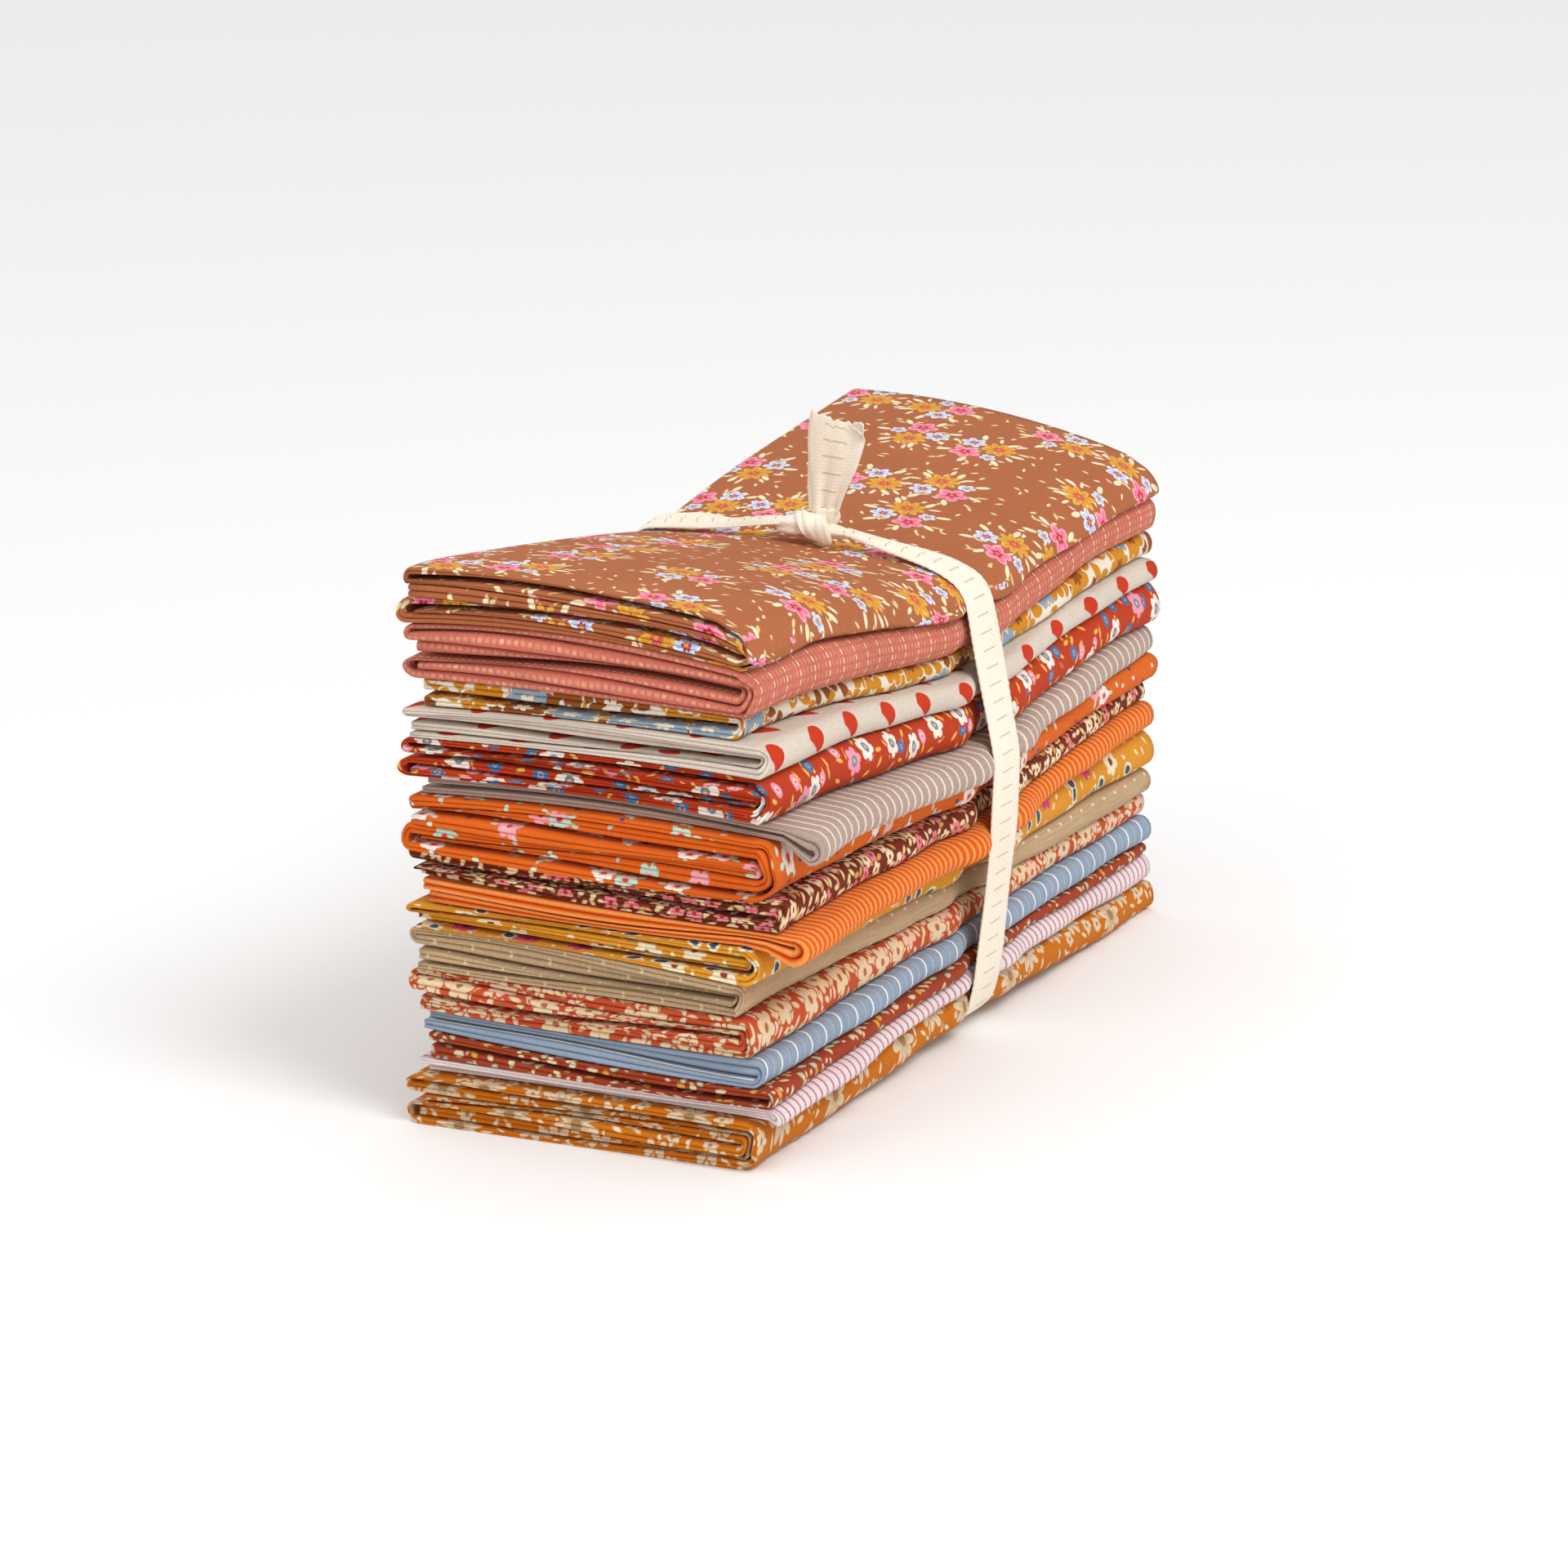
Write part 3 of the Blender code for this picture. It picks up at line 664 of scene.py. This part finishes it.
cotton, at = flat_cloth("motifs_mustard")
navy, cream, pink, heart = paint("3C5470"), paint("F1E2BE"), paint("D4477A"), paint("8C3A1E")
place, dice = scatter(at, pitch=3.9, jitter=1.0, seed=9)
colour = (spot(place, long=0.9, wide=0.45) * chosen(dice, 1, share=0.5)).over(paint("DB9428"), cream)
place, dice = scatter(at, pitch=7.6, jitter=0.8, seed=10)
shown = chosen(dice, 1, share=0.62)
colour = (spot(place, long=2.6, wide=1.8) * shown).over(colour, cream)
colour = (spot(place, long=1.8, wide=1.1) * shown).over(colour, navy)
place, dice = scatter(at, pitch=14.0, jitter=0.7, seed=11)
colour = flower(place, radius=3.6, petals=6).over(colour, chosen(dice, 1, share=0.5).over(cream, pink))
colour = spot(place, long=1.0, wide=1.0).over(colour, heart)
fold_cut("motifs_mustard", weave(cotton, at, colour))


# Orange shirting, woven in fine stripes of two oranges. Its front fold sticks out of the pile and hangs over
# the mustard piece.

cotton, at = flat_cloth("stripe_orange")
colour = lines(at.part(1), pitch=2.9, width=1.2, soft=0.5).over(paint("DE6010"), paint("F59A50"))
fold_cut("stripe_orange", weave(cotton, at, colour))


# Dark red-brown cotton, crowded with small printed cream leaves and pink flowers. Its four plies stand back
# from the orange fold below.

cotton, at = flat_cloth("posies_dark")
place, dice = scatter(at, pitch=2.9, jitter=0.9, seed=12)
leaf = chosen(dice, 1, share=0.3).over(paint("EDD3A0"), paint("DDA05A"))
colour = spot(place, long=1.3, wide=0.58).over(paint("74280F"), leaf)
place, dice = scatter(at, pitch=5.6, jitter=0.8, seed=13)
tint = chosen(dice, 1, share=0.45).over(paint("F3DDB8"), paint("E8848A"))
colour = flower(place, radius=2.0, petals=5).over(colour, tint)
colour = spot(place, long=0.55, wide=0.55).over(colour, paint("9A3426"))
fold_cut("posies_dark", weave(cotton, at, colour))


# The thickest piece: plain orange cotton, printed with a few white, pink and mint sprigs and navy dots and
# folded in six plies, one full round over the others at the front.

cotton, at = flat_cloth("sprigs_orange")
place, dice = scatter(at, pitch=6.8, jitter=0.9, seed=14)
speck = chosen(dice, 2, share=0.4).over(paint("5B4A78"), paint("CFE3C6"))
colour = (spot(place, long=0.9, wide=0.65) * chosen(dice, 1, share=0.7)).over(paint("DE6618"), speck)
place, dice = scatter(at, pitch=13.0, jitter=0.75, seed=15)
mint = paint("BFE0CE")
pink_or_mint = chosen(dice, 2, share=0.6).over(mint, paint("F2A8B4"))
tint = chosen(dice, 1, share=0.16).over(paint("F8EEE6"), pink_or_mint)
shown = chosen(dice, 1, share=0.85)
colour = (sprays(place, count=3, reach=4.0, long=1.2, wide=0.6) * shown).over(colour, mint)
colour = (flower(place, radius=3.2, petals=5, depth=0.28) * shown).over(colour, tint)
colour = (flower(place, radius=1.5, petals=5, depth=0.4) * shown).over(colour, paint("F2B4B0"))
colour = (spot(place, long=0.8, wide=0.8) * shown).over(colour, paint("C8402A"))
fold_cut("sprigs_orange", weave(cotton, at, colour))


# Thin taupe shirting, woven with cream pinstripes. Its front fold sticks out further than any other and hangs
# over the orange piece.

cotton, at = flat_cloth("pinstripe_taupe")
colour = lines(at.part(1), pitch=4.7, width=0.95, soft=0.45).over(paint("B49C8E"), paint("EADCD0"))
fold_cut("pinstripe_taupe", weave(cotton, at, colour, uneven=0.14))


# Rust red cotton, printed with white, pink and blue meadow flowers and yellow dashes. It is folded in six
# plies.

cotton, at = flat_cloth("meadow_red")
ground, white, pink, blue = paint("BC3A12"), paint("F4E8DA"), paint("EE9AAC"), paint("3F74A2")
yellow, slate = paint("EDB858"), paint("6F88A8")
place, dice = scatter(at, pitch=4.6, jitter=1.0, seed=16)
colour = (spot(place, long=1.5, wide=0.5) * chosen(dice, 1, share=0.8)).over(ground, yellow)
place, dice = scatter(at, pitch=8.6, jitter=0.75, seed=17)
small = chosen(dice, 1, share=0.45)
colour = spot(place, long=2.0, wide=1.7).over(colour, small.over(pink, blue))
colour = spot(place, long=0.9, wide=0.8).over(colour, small.over(paint("F8DDD6"), paint("86A9C4")))
colour = spot(place, long=0.4, wide=0.4).over(colour, ground)
place, dice = scatter(at, pitch=14.5, jitter=0.7, seed=18)
colour = flower(place, radius=4.4, petals=6, depth=0.3).over(colour, ground)
tint = chosen(dice, 1, share=0.3).over(white, pink)
colour = flower(place, radius=3.6, petals=6, depth=0.3).over(colour, tint)
colour = spot(place, long=1.5, wide=1.2).over(colour, slate)
colour = spot(place, long=0.6, wide=0.5).over(colour, yellow)
fold_cut("meadow_red", weave(cotton, at, colour))


# Pale grey-beige cotton, printed with rows of red half rounds, each row half a step along from the next. It
# is folded in four plies.

cotton, at = flat_cloth("drops_grey")
DROP_ROWS = 9.4
DROP_PITCH = 22.0
DROP_SHIFT = 0.27  # where along the cloth the rows begin, in steps
CUT_ACROSS = 0.85  # the way in which a round is cut in half, and how far from its middle
CUT_ALONG = 0.52
CUT_AT = 1.1
level = at.part(0) / DROP_ROWS + 0.5
across = (level.math("FRACT") - 0.5) * DROP_ROWS
stagger = (level.math("FLOOR") * 0.5).math("FRACT")
along = ((at.part(1) / DROP_PITCH + DROP_SHIFT + stagger).math("FRACT") - 0.5) * DROP_PITCH
drop = across.add("ShaderNodeCombineXYZ", {}, {0: across, 1: along, 2: 0.0})
half = (across * -CUT_ACROSS - along * CUT_ALONG).below(CUT_AT, 0.4)
colour = (spot(drop, long=3.7, wide=4.0) * half).over(paint("D9CBBC"), paint("C8330C"))
fold_cut("drops_grey", weave(cotton, at, colour))


# Thin cream cotton, printed with large mustard, blue-grey and brown blooms. Its two plies lie a little behind
# the fronts of its neighbours.

cotton, at = flat_cloth("blooms_cream")
ground, mustard, slate, brown = paint("EEE2CE"), paint("D08A1E"), paint("93A9B6"), paint("96521F")
place, dice = scatter(at, pitch=4.9, jitter=0.9, seed=19)
colour = spot(place, long=2.8, wide=1.6).over(ground, chosen(dice, 1, share=0.35).over(mustard, brown))
place, dice = scatter(at, pitch=13.0, jitter=0.6, seed=20)
tint = chosen(dice, 1, share=0.6).over(chosen(dice, 2, share=0.6).over(brown, slate), mustard)
colour = flower(place, radius=7.4, petals=7, depth=0.3).over(colour, ground)
colour = flower(place, radius=6.7, petals=7, depth=0.3).over(colour, tint)
heart = chosen(dice, 1, share=0.5).over(ground, brown)
colour = flower(place, radius=3.0, petals=7, depth=0.4).over(colour, heart)
fold_cut("blooms_cream", weave(cotton, at, colour))


# Crinkled coral cotton, woven with rows of short cream dashes, with a stronger ladder of them at every fourth
# row. Its six plies turn back at the near end in one full fold each.

cotton, at = flat_cloth("dashed_coral")
DASH_PITCH = 1.9  # both along and across the cloth
LADDER_ROWS = 4
ROW_SWAY = 0.25
dash = lines(at.part(0), DASH_PITCH, width=1.15, soft=0.35)
swayed = at.part(1) + (at.part(0) / 9.0).math("SINE") * ROW_SWAY + DASH_PITCH / 2
column = lines(swayed, DASH_PITCH, width=0.6, soft=0.3)
worn = (mottle(at, scale=0.33, detail=1.0, dimensions="3D") - 0.34) * 2.6
shown = worn.math("MAXIMUM", 0.25).math("MINIMUM", 0.9)
ladder = lines(at.part(1), DASH_PITCH * LADDER_ROWS, width=2.6, soft=0.3) * column
colour = (column * dash * shown).over(paint("DC7863"), paint("F3C49E"))
colour = (ladder * dash).over(colour, paint("FBE4B8"))
fold_cut("dashed_coral", weave(cotton, at, colour, depth=0.1, crinkle=0.4, uneven=0.16))


# The top piece: brown cotton, printed with sprays of mustard, pink and pale blue flowers among cream leaves.
# It is folded in six plies, and the ribbon's knot lies on it.

cotton, at = flat_cloth("floral_brown")
ground, cream, mustard = paint("AF653D"), paint("F2E2BA"), paint("D8962A")
pink, rose, sky_blue = paint("EE7896"), paint("B81850"), paint("B9C8E8")
place, dice = scatter(at, pitch=5.6, jitter=1.0, seed=21)
colour = (spot(place, long=0.95, wide=0.36) * chosen(dice, 1, share=0.75)).over(ground, cream)
place, _ = scatter(at, pitch=29.5, jitter=0.55, seed=26.45)
shadow, straw = paint("94502C"), paint("E8C98A")
colour = sprays(place, count=7, reach=10.2, long=2.0, wide=0.9, soft=0.5).over(colour, shadow)
colour = sprays(place, count=7, reach=10.0, long=2.0, wide=0.8).over(colour, cream)
beside = place.vector("SUBTRACT", (4.8, -0.6, 0.0))
colour = sprays(beside, count=7, reach=7.0, long=1.6, wide=0.5).over(colour, cream)
beside = place.vector("SUBTRACT", (-5.0, 2.2, 0.0))
colour = sprays(beside, count=6, reach=7.4, long=1.5, wide=0.45).over(colour, straw)
for middle, radius, petals, tint, light, heart in (
    ((-1.2, -5.4, 0.0), 3.6, 6, sky_blue, paint("E4EAF6"), rose),
    ((4.8, -0.6, 0.0), 4.9, 9, mustard, paint("E4AC48"), paint("D04A5C")),
    ((-4.6, 2.0, 0.0), 4.3, 5, pink, paint("F4A0B2"), rose),
    ((1.0, 5.8, 0.0), 2.3, 5, sky_blue, paint("E4EAF6"), paint("6A7FC0")),
):
    own = place.vector("SUBTRACT", middle)
    colour = flower(own, radius, petals, depth=0.42).over(colour, light)
    colour = flower(own, radius * 0.8, petals, depth=0.6).over(colour, tint)
    colour = flower(own, radius * 0.38, petals, depth=0.5).over(colour, heart)
    colour = spot(own, long=0.6, wide=0.6).over(colour, mustard)
fold_cut("floral_brown", weave(cotton, at, colour))


# The ribbon: one cream cotton tape, 16 mm wide, passed under and round the pile's waist and tied on top. It
# lies flat down the front and the back, gathers into narrow arms on the top, and its two ends stand up.

RIBBON_WIDTH = 16.0
TAPE = 0.35  # its thickness
CLEAR = 0.55  # from the cloth
BAND_STEP = 1.0  # between its rows of points
ACROSS = np.linspace(-1.0, 1.0, 15)  # from its near edge to its far one
KNOT_X = WAIST - 4.0
KNOT_Y = 42.5
KNOT_HALF = 7.0  # the band leaves out this much on both sides of the knot's middle
START_Y = KNOT_Y - 5.0  # under the knot, where its route starts, which runs down the front first
UPPER_PART = 80.0  # what lies higher than this is the upper part of the pile
TOP_DEPTH = 14.0  # what lies within this of the band's highest point is its top
ROUTE_EASE = 11  # the points over which its route is smoothed, and then its width and place on the top
WIDTH_EASE = 9
SELVAGE = 0.12  # how far its ribs make its edges uneven
PLEATS = 3.0
PLEAT = 0.682  # half of a pleat's height where it is gathered most
PLEAT_SWAY = 0.12
CUP = 0.25  # how far its middle stands out from its edges
TWIST = 0.12
# Over the top: the band's place along the pile, half of its width and its height over the cloth.
TOP_Y = (-1.0, 4.0, 14.0, 26.0, 36.0, 50.0, 58.0, 64.0, 74.0, 86.0, 93.0)
TOP_X = (0.0, -0.4, -1.6, -2.8, -4.0, -4.0, -4.0, -3.6, -3.0, -2.4, -1.6)
TOP_HALF = (7.9, 7.6, 5.4, 2.6, 1.7, 2.8, 2.6, 1.3, 3.9, 5.0, 6.8)
TOP_LIFT = (0.0, 0.0, 0.4, 1.2, 3.6, 3.8, 2.6, 1.3, 0.4, 0.0, -0.1)
# How far it rolls towards the near end, in degrees.
TOP_ROLL = (0.0, 0.0, 4.0, 10.0, 0.0, 0.0, 12.0, 4.0, 18.0, 12.0, 2.0)


def taut_outline(points):
    """The outline that a taut tape takes round (y, z) points, anticlockwise."""
    ordered = sorted(set(map(tuple, np.round(points, 4))))
    line = []
    for run in (ordered, ordered[::-1]):
        half = []
        for p in run:
            while len(half) > 1:
                (y1, z1), (y2, z2) = half[-2:]
                if (y2 - y1) * (p[1] - z1) > (z2 - z1) * (p[0] - y1):
                    break
                half.pop()
            half.append(p)
        line += half[:-1]
    return np.array(line)


def resampled(line, step):
    """A line as points a step apart, and how far along it each one lies."""
    far = np.concatenate([[0.0], np.cumsum(np.linalg.norm(np.diff(line, axis=0), axis=1))])
    at = np.linspace(0.0, far[-1], int(far[-1] / step) + 1)
    return np.stack([np.interp(at, far, column) for column in line.T], axis=-1), at


touched = []
for name in ORDER:
    for side in section(name, [WAIST - RIBBON_WIDTH / 2, WAIST, WAIST + RIBBON_WIDTH / 2])[:2]:
        touched.append(side.reshape(-1, 2))
loop = taut_outline(np.concatenate(touched))
from_start = np.where(loop[:, 1] > UPPER_PART, np.abs(loop[:, 0] - START_Y), np.inf)
loop = np.roll(loop, -int(np.argmin(from_start)), axis=0)
route, _ = resampled(np.concatenate([loop, loop[:1]]), BAND_STEP)
ease = np.hanning(ROUTE_EASE) / np.hanning(ROUTE_EASE).sum()
lap = ROUTE_EASE // 2
lapped = [np.r_[c[-lap - 1 : -1], c, c[1 : lap + 1]] for c in route.T]
route = np.stack([np.convolve(c, ease, "valid") for c in lapped], axis=-1)
on_top = route[:, 1] > route[:, 1].max() - TOP_DEPTH
route = route[~(on_top & (np.abs(route[:, 0] - KNOT_Y) < KNOT_HALF))]
route, along = resampled(route, BAND_STEP)
tangent = np.gradient(route, axis=0)
tangent /= np.linalg.norm(tangent, axis=1)[:, None]
normal = np.stack([tangent[:, 1], -tangent[:, 0]], axis=-1)
on_top = route[:, 1] > route[:, 1].max() - TOP_DEPTH
half = np.where(on_top, np.interp(route[:, 0], TOP_Y, TOP_HALF), RIBBON_WIDTH / 2)
beside = np.where(on_top, np.interp(route[:, 0], TOP_Y, TOP_X), 0.0)
lift = np.where(on_top, np.interp(route[:, 0], TOP_Y, TOP_LIFT), 0.0)
roll = np.where(on_top, np.radians(np.interp(route[:, 0], TOP_Y, TOP_ROLL)), 0.0)
soften = np.ones(WIDTH_EASE) / WIDTH_EASE
half, beside, lift, roll = (
    np.convolve(np.pad(v, WIDTH_EASE // 2, "edge"), soften, "valid") for v in (half, beside, lift, roll)
)
gathered = 1.0 - half / (RIBBON_WIDTH / 2)
selvage = SELVAGE * np.where(np.arange(len(along)) % 2, 1.0, -1.0)[:, None] * ACROSS[None, :] ** 7
swayed = ACROSS[None, :] + PLEAT_SWAY * np.sin(along / 9.0)[:, None] + 1.0
pleat = PLEAT * gathered[:, None] * (1.0 - np.cos(PLEATS * np.pi * swayed))
cup = CUP * (1.0 - ACROSS[None, :] ** 2) + TWIST * np.sin(along / 6.5)[:, None] * ACROSS[None, :]
tilt = (half * np.sin(roll))[:, None] * (1.0 + ACROSS[None, :])
away = CLEAR + lift[:, None] + pleat + cup + tilt
x = WAIST + beside[:, None] + (half * np.cos(roll))[:, None] * ACROSS[None, :] + selvage
yz = route[:, None, :] + normal[:, None, :] * away[..., None]
points = np.concatenate([x[..., None], yz], axis=-1)
tape_uv = np.stack(np.broadcast_arrays(ACROSS[None, :] * RIBBON_WIDTH / 2, along[:, None]), axis=-1) * MM

RIB = 0.9  # the pitch of its ribs
RIB_SHADE = 0.16
MARK_PITCH = 4.4  # of the plain ticks along its middle
MARK_HALF = 3.4  # half of a tick's length
MARK_STRENGTH = 0.75
tape, at = flat_cloth("ribbon_tape")
rib = (at.part(1) * (2.0 * math.pi / RIB)).math("SINE")
in_middle = at.part(0).math("ABSOLUTE").below(MARK_HALF, 0.3)
mark = lines(at.part(1), MARK_PITCH, width=0.42, soft=0.25) * in_middle
colour = (rib * RIB_SHADE + RIB_SHADE).over(paint("F3E9D8"), paint("D6C7AC"))
colour = (mark * MARK_STRENGTH).over(colour, paint("BFA680"))
weave(tape, at, colour, thread=0.6, depth=0.03, crinkle=0.1, uneven=0.07, sheen=0.1)


def dress_ribbon(made, node, long=None):
    """Ties a piece of the ribbon to its solid, and gives it the tape's thickness if its length is given, as
    for a sheet.
    """
    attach(made, "root")
    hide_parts(node)
    if long:
        solidify = made.modifiers.new("tape", "SOLIDIFY")
        solidify.thickness = TAPE * MM
        solidify.offset = 0.0


dress_ribbon(grid_object("band", points, tape_uv, tape), "ribbon_band", float(along[-1]))


# The knot: the left arm's lobe, a broad turn of tape across it and the right arm's root, with a collar from
# which the free ends rise. All are the same tape, gathered tight, so each is a ridged tube.

KNOT_FLOOR = float(route[0, 1])
RIDGE = 0.13  # how deep the gathers are, as a share of the tube's size
RIDGE_SWAY = 0.05
TUBE_SIDES = 22
TUBE_STEPS = 4  # for each point of its middle line
LINE_EASE = np.array([1.0, 2.0, 3.0, 2.0, 1.0]) / 9.0


def gathered_tape(line, wide, thick, ridges, spread=(1.0, 0.0, 0.0)):
    """A closed, ridged tube of gathered tape: its middle line, its half sizes and the way that it is wide."""
    steps = TUBE_STEPS * len(line)
    t = np.linspace(0.0, len(line) - 1.0, steps)
    known = np.arange(len(line))
    middle = np.stack([np.interp(t, known, c) for c in np.array(line, float).T], axis=-1)
    padded = [np.pad(c, len(LINE_EASE) // 2, "edge") for c in middle.T]
    middle = np.stack([np.convolve(c, LINE_EASE, "valid") for c in padded], axis=-1)
    ahead = np.gradient(middle, axis=0)
    ahead /= np.linalg.norm(ahead, axis=1)[:, None]
    sideways = np.array(spread) - ahead * (ahead @ np.array(spread))[:, None]
    sideways /= np.linalg.norm(sideways, axis=1)[:, None]
    up = np.cross(ahead, sideways)
    around = 2.0 * np.pi * np.arange(TUBE_SIDES + 1) / TUBE_SIDES
    ridge = 1.0 + RIDGE * np.cos(ridges * around)[None, :]
    ridge = ridge + RIDGE_SWAY * np.sin(t[:, None] * 2.3 + 3.0 * around[None, :])
    closing = np.sqrt(np.clip(1.0 - np.abs(2.0 * t / t[-1] - 1.0) ** 6, 0.0, 1.0))[:, None]
    size_wide = np.interp(t, known, wide)[:, None] * ridge * closing
    size_thick = np.interp(t, known, thick)[:, None] * ridge * closing
    ring = sideways[:, None, :] * (size_wide * np.cos(around))[..., None]
    ring = ring + up[:, None, :] * (size_thick * np.sin(around))[..., None]
    return middle[:, None, :] + ring + np.array([KNOT_X, KNOT_Y, KNOT_FLOOR])


# The strands' middle lines, as x, y and z from the knot's foot.
LEFT_LOBE = ((0.0, 11.5, 3.6), (0.0, 8.0, 4.6), (0.2, 4.6, 4.8), (0.0, 1.0, 4.4))
RIGHT_ROOT = ((0.0, 1.0, 3.0), (0.2, -2.5, 3.8), (0.0, -5.5, 4.0), (0.0, -9.5, 3.6))
TURN = ((3.4, 4.4, 1.4), (4.0, 4.4, 4.2), (1.8, 3.2, 6.6), (-1.4, 0.8, 7.1), (-4.0, -2.0, 5.6),
        (-4.6, -4.0, 3.0), (-3.0, -4.8, 0.9))
TURN_WIDE = (2.4, 3.0, 3.3, 3.4, 3.3, 3.0, 2.2)
TURN_TALL = (1.0, 1.2, 1.4, 1.5, 1.4, 1.2, 1.0)
COLLAR = ((0.8, -0.4, 5.0), (0.5, -1.8, 6.8), (0.1, -2.6, 8.4), (-0.3, -2.4, 10.0))
strands = (
    gathered_tape(LEFT_LOBE, (1.6, 3.2, 3.9, 3.2), (1.1, 2.1, 2.7, 2.4), 5),
    gathered_tape(RIGHT_ROOT, (3.2, 3.0, 1.9, 1.5), (2.2, 2.2, 1.6, 1.3), 4),
    gathered_tape(TURN, TURN_WIDE, TURN_TALL, 7, (0.3, 1.0, 0.2)),
    gathered_tape(COLLAR, (2.2, 3.0, 3.5, 3.4), (1.4, 1.5, 1.3, 0.9), 6, (0.0, 1.0, 0.0)),
)
# The strands show a short stretch of the flat tape, from a tick on.
SHOWN_WIDE = 4.0
SHOWN_FROM = 2.2
SHOWN_TO = 4.2
lumps = []
for points in strands:
    rows, columns = points.shape[:2]
    wide, long = np.meshgrid(
        np.linspace(-SHOWN_WIDE, SHOWN_WIDE, columns), np.linspace(SHOWN_FROM, SHOWN_TO, rows)
    )
    lumps.append(grid_object("knot_strand", points, np.stack([wide, long], axis=-1) * MM, tape))
with bpy.context.temp_override(active_object=lumps[0], selected_editable_objects=lumps):
    bpy.ops.object.join()
knot = lumps[0]
knot.name = "knot"
dress_ribbon(knot, "ribbon_knot")


# The two ends: the front one fans out from the knot with pleats at its foot, its top edge frayed and its
# right corner curled over; the back one stands behind it and shows past its edges.

# From the foot up: height over the knot's foot, the y of the left and right edges, and the lean along x.
FRONT_END = ((8.6, 43.6, 36.2, -0.4), (11.8, 44.0, 35.2, -0.2), (15.8, 44.6, 33.6, 0.2),
             (20.4, 45.4, 31.6, 0.9), (25.0, 45.8, 30.6, 1.6), (29.6, 45.7, 30.0, 2.2),
             (34.0, 44.9, 30.4, 2.6))
BACK_END = ((8.4, 46.0, 40.0, 2.4), (13.0, 47.4, 37.2, 4.4), (18.6, 48.2, 35.0, 6.4), (25.0, 47.8, 33.6, 8.2),
            (29.2, 46.9, 32.8, 9.2))
END_ROWS = 45
END_PLEATS = 2.5
END_PLEAT = 0.8  # the pleats' depth at the foot
END_WAVE = 0.5
CURL = 2.6  # how far the right corner comes forward
CURL_FROM = 0.72  # from this share of the height up
CURL_BESIDE = 0.7  # and from this share of the width on
MARK_SHIFT = 1.3  # moves the ticks down the ends


def standing_end(name, node, shape, frays, slope):
    """A free end of the tape, as a fan with pleats that open upwards."""
    shape = np.array(shape)
    up = np.linspace(shape[0, 0], shape[-1, 0], END_ROWS)
    left, right, lean = (np.interp(up, shape[:, 0], shape[:, i]) for i in (1, 2, 3))
    t = (ACROSS + 1.0) / 2
    share = ((up - up[0]) / (up[-1] - up[0]))[:, None]
    y = left[:, None] + (right - left)[:, None] * t
    fold = END_PLEAT * (1.0 - share) ** 1.5 * np.cos(2.0 * np.pi * END_PLEATS * t)[None, :]
    wave = END_WAVE * np.sin(3.0 * t + 4.0 * share)
    rolled = np.clip((share - CURL_FROM) / (1.0 - CURL_FROM), 0.0, 1.0) ** 2
    corner = np.clip((t - CURL_BESIDE) / (1.0 - CURL_BESIDE), 0.0, 1.0)
    x = KNOT_X + lean[:, None] + fold + wave - CURL * rolled * corner
    ragged = (0.55 * np.sin(t * 41.0) + 0.45 * np.sin(t * 67.0 + 1.0)) * frays
    z = KNOT_FLOOR + up[:, None] + (ragged - slope * t)[None, :] * share**4
    points = np.stack([x, y, z], axis=-1)
    of_tape = np.broadcast_arrays(ACROSS[None, :] * RIBBON_WIDTH / 2, up[:, None] + MARK_SHIFT)
    made = grid_object(name, points, np.stack(of_tape, axis=-1) * MM, tape)
    dress_ribbon(made, node, float(up[-1] - up[0]))


standing_end("front_end", "ribbon_tail_front", FRONT_END, frays=0.8, slope=4.5)
standing_end("back_end", "ribbon_tail_back", BACK_END, frays=0.7, slope=-1.5)
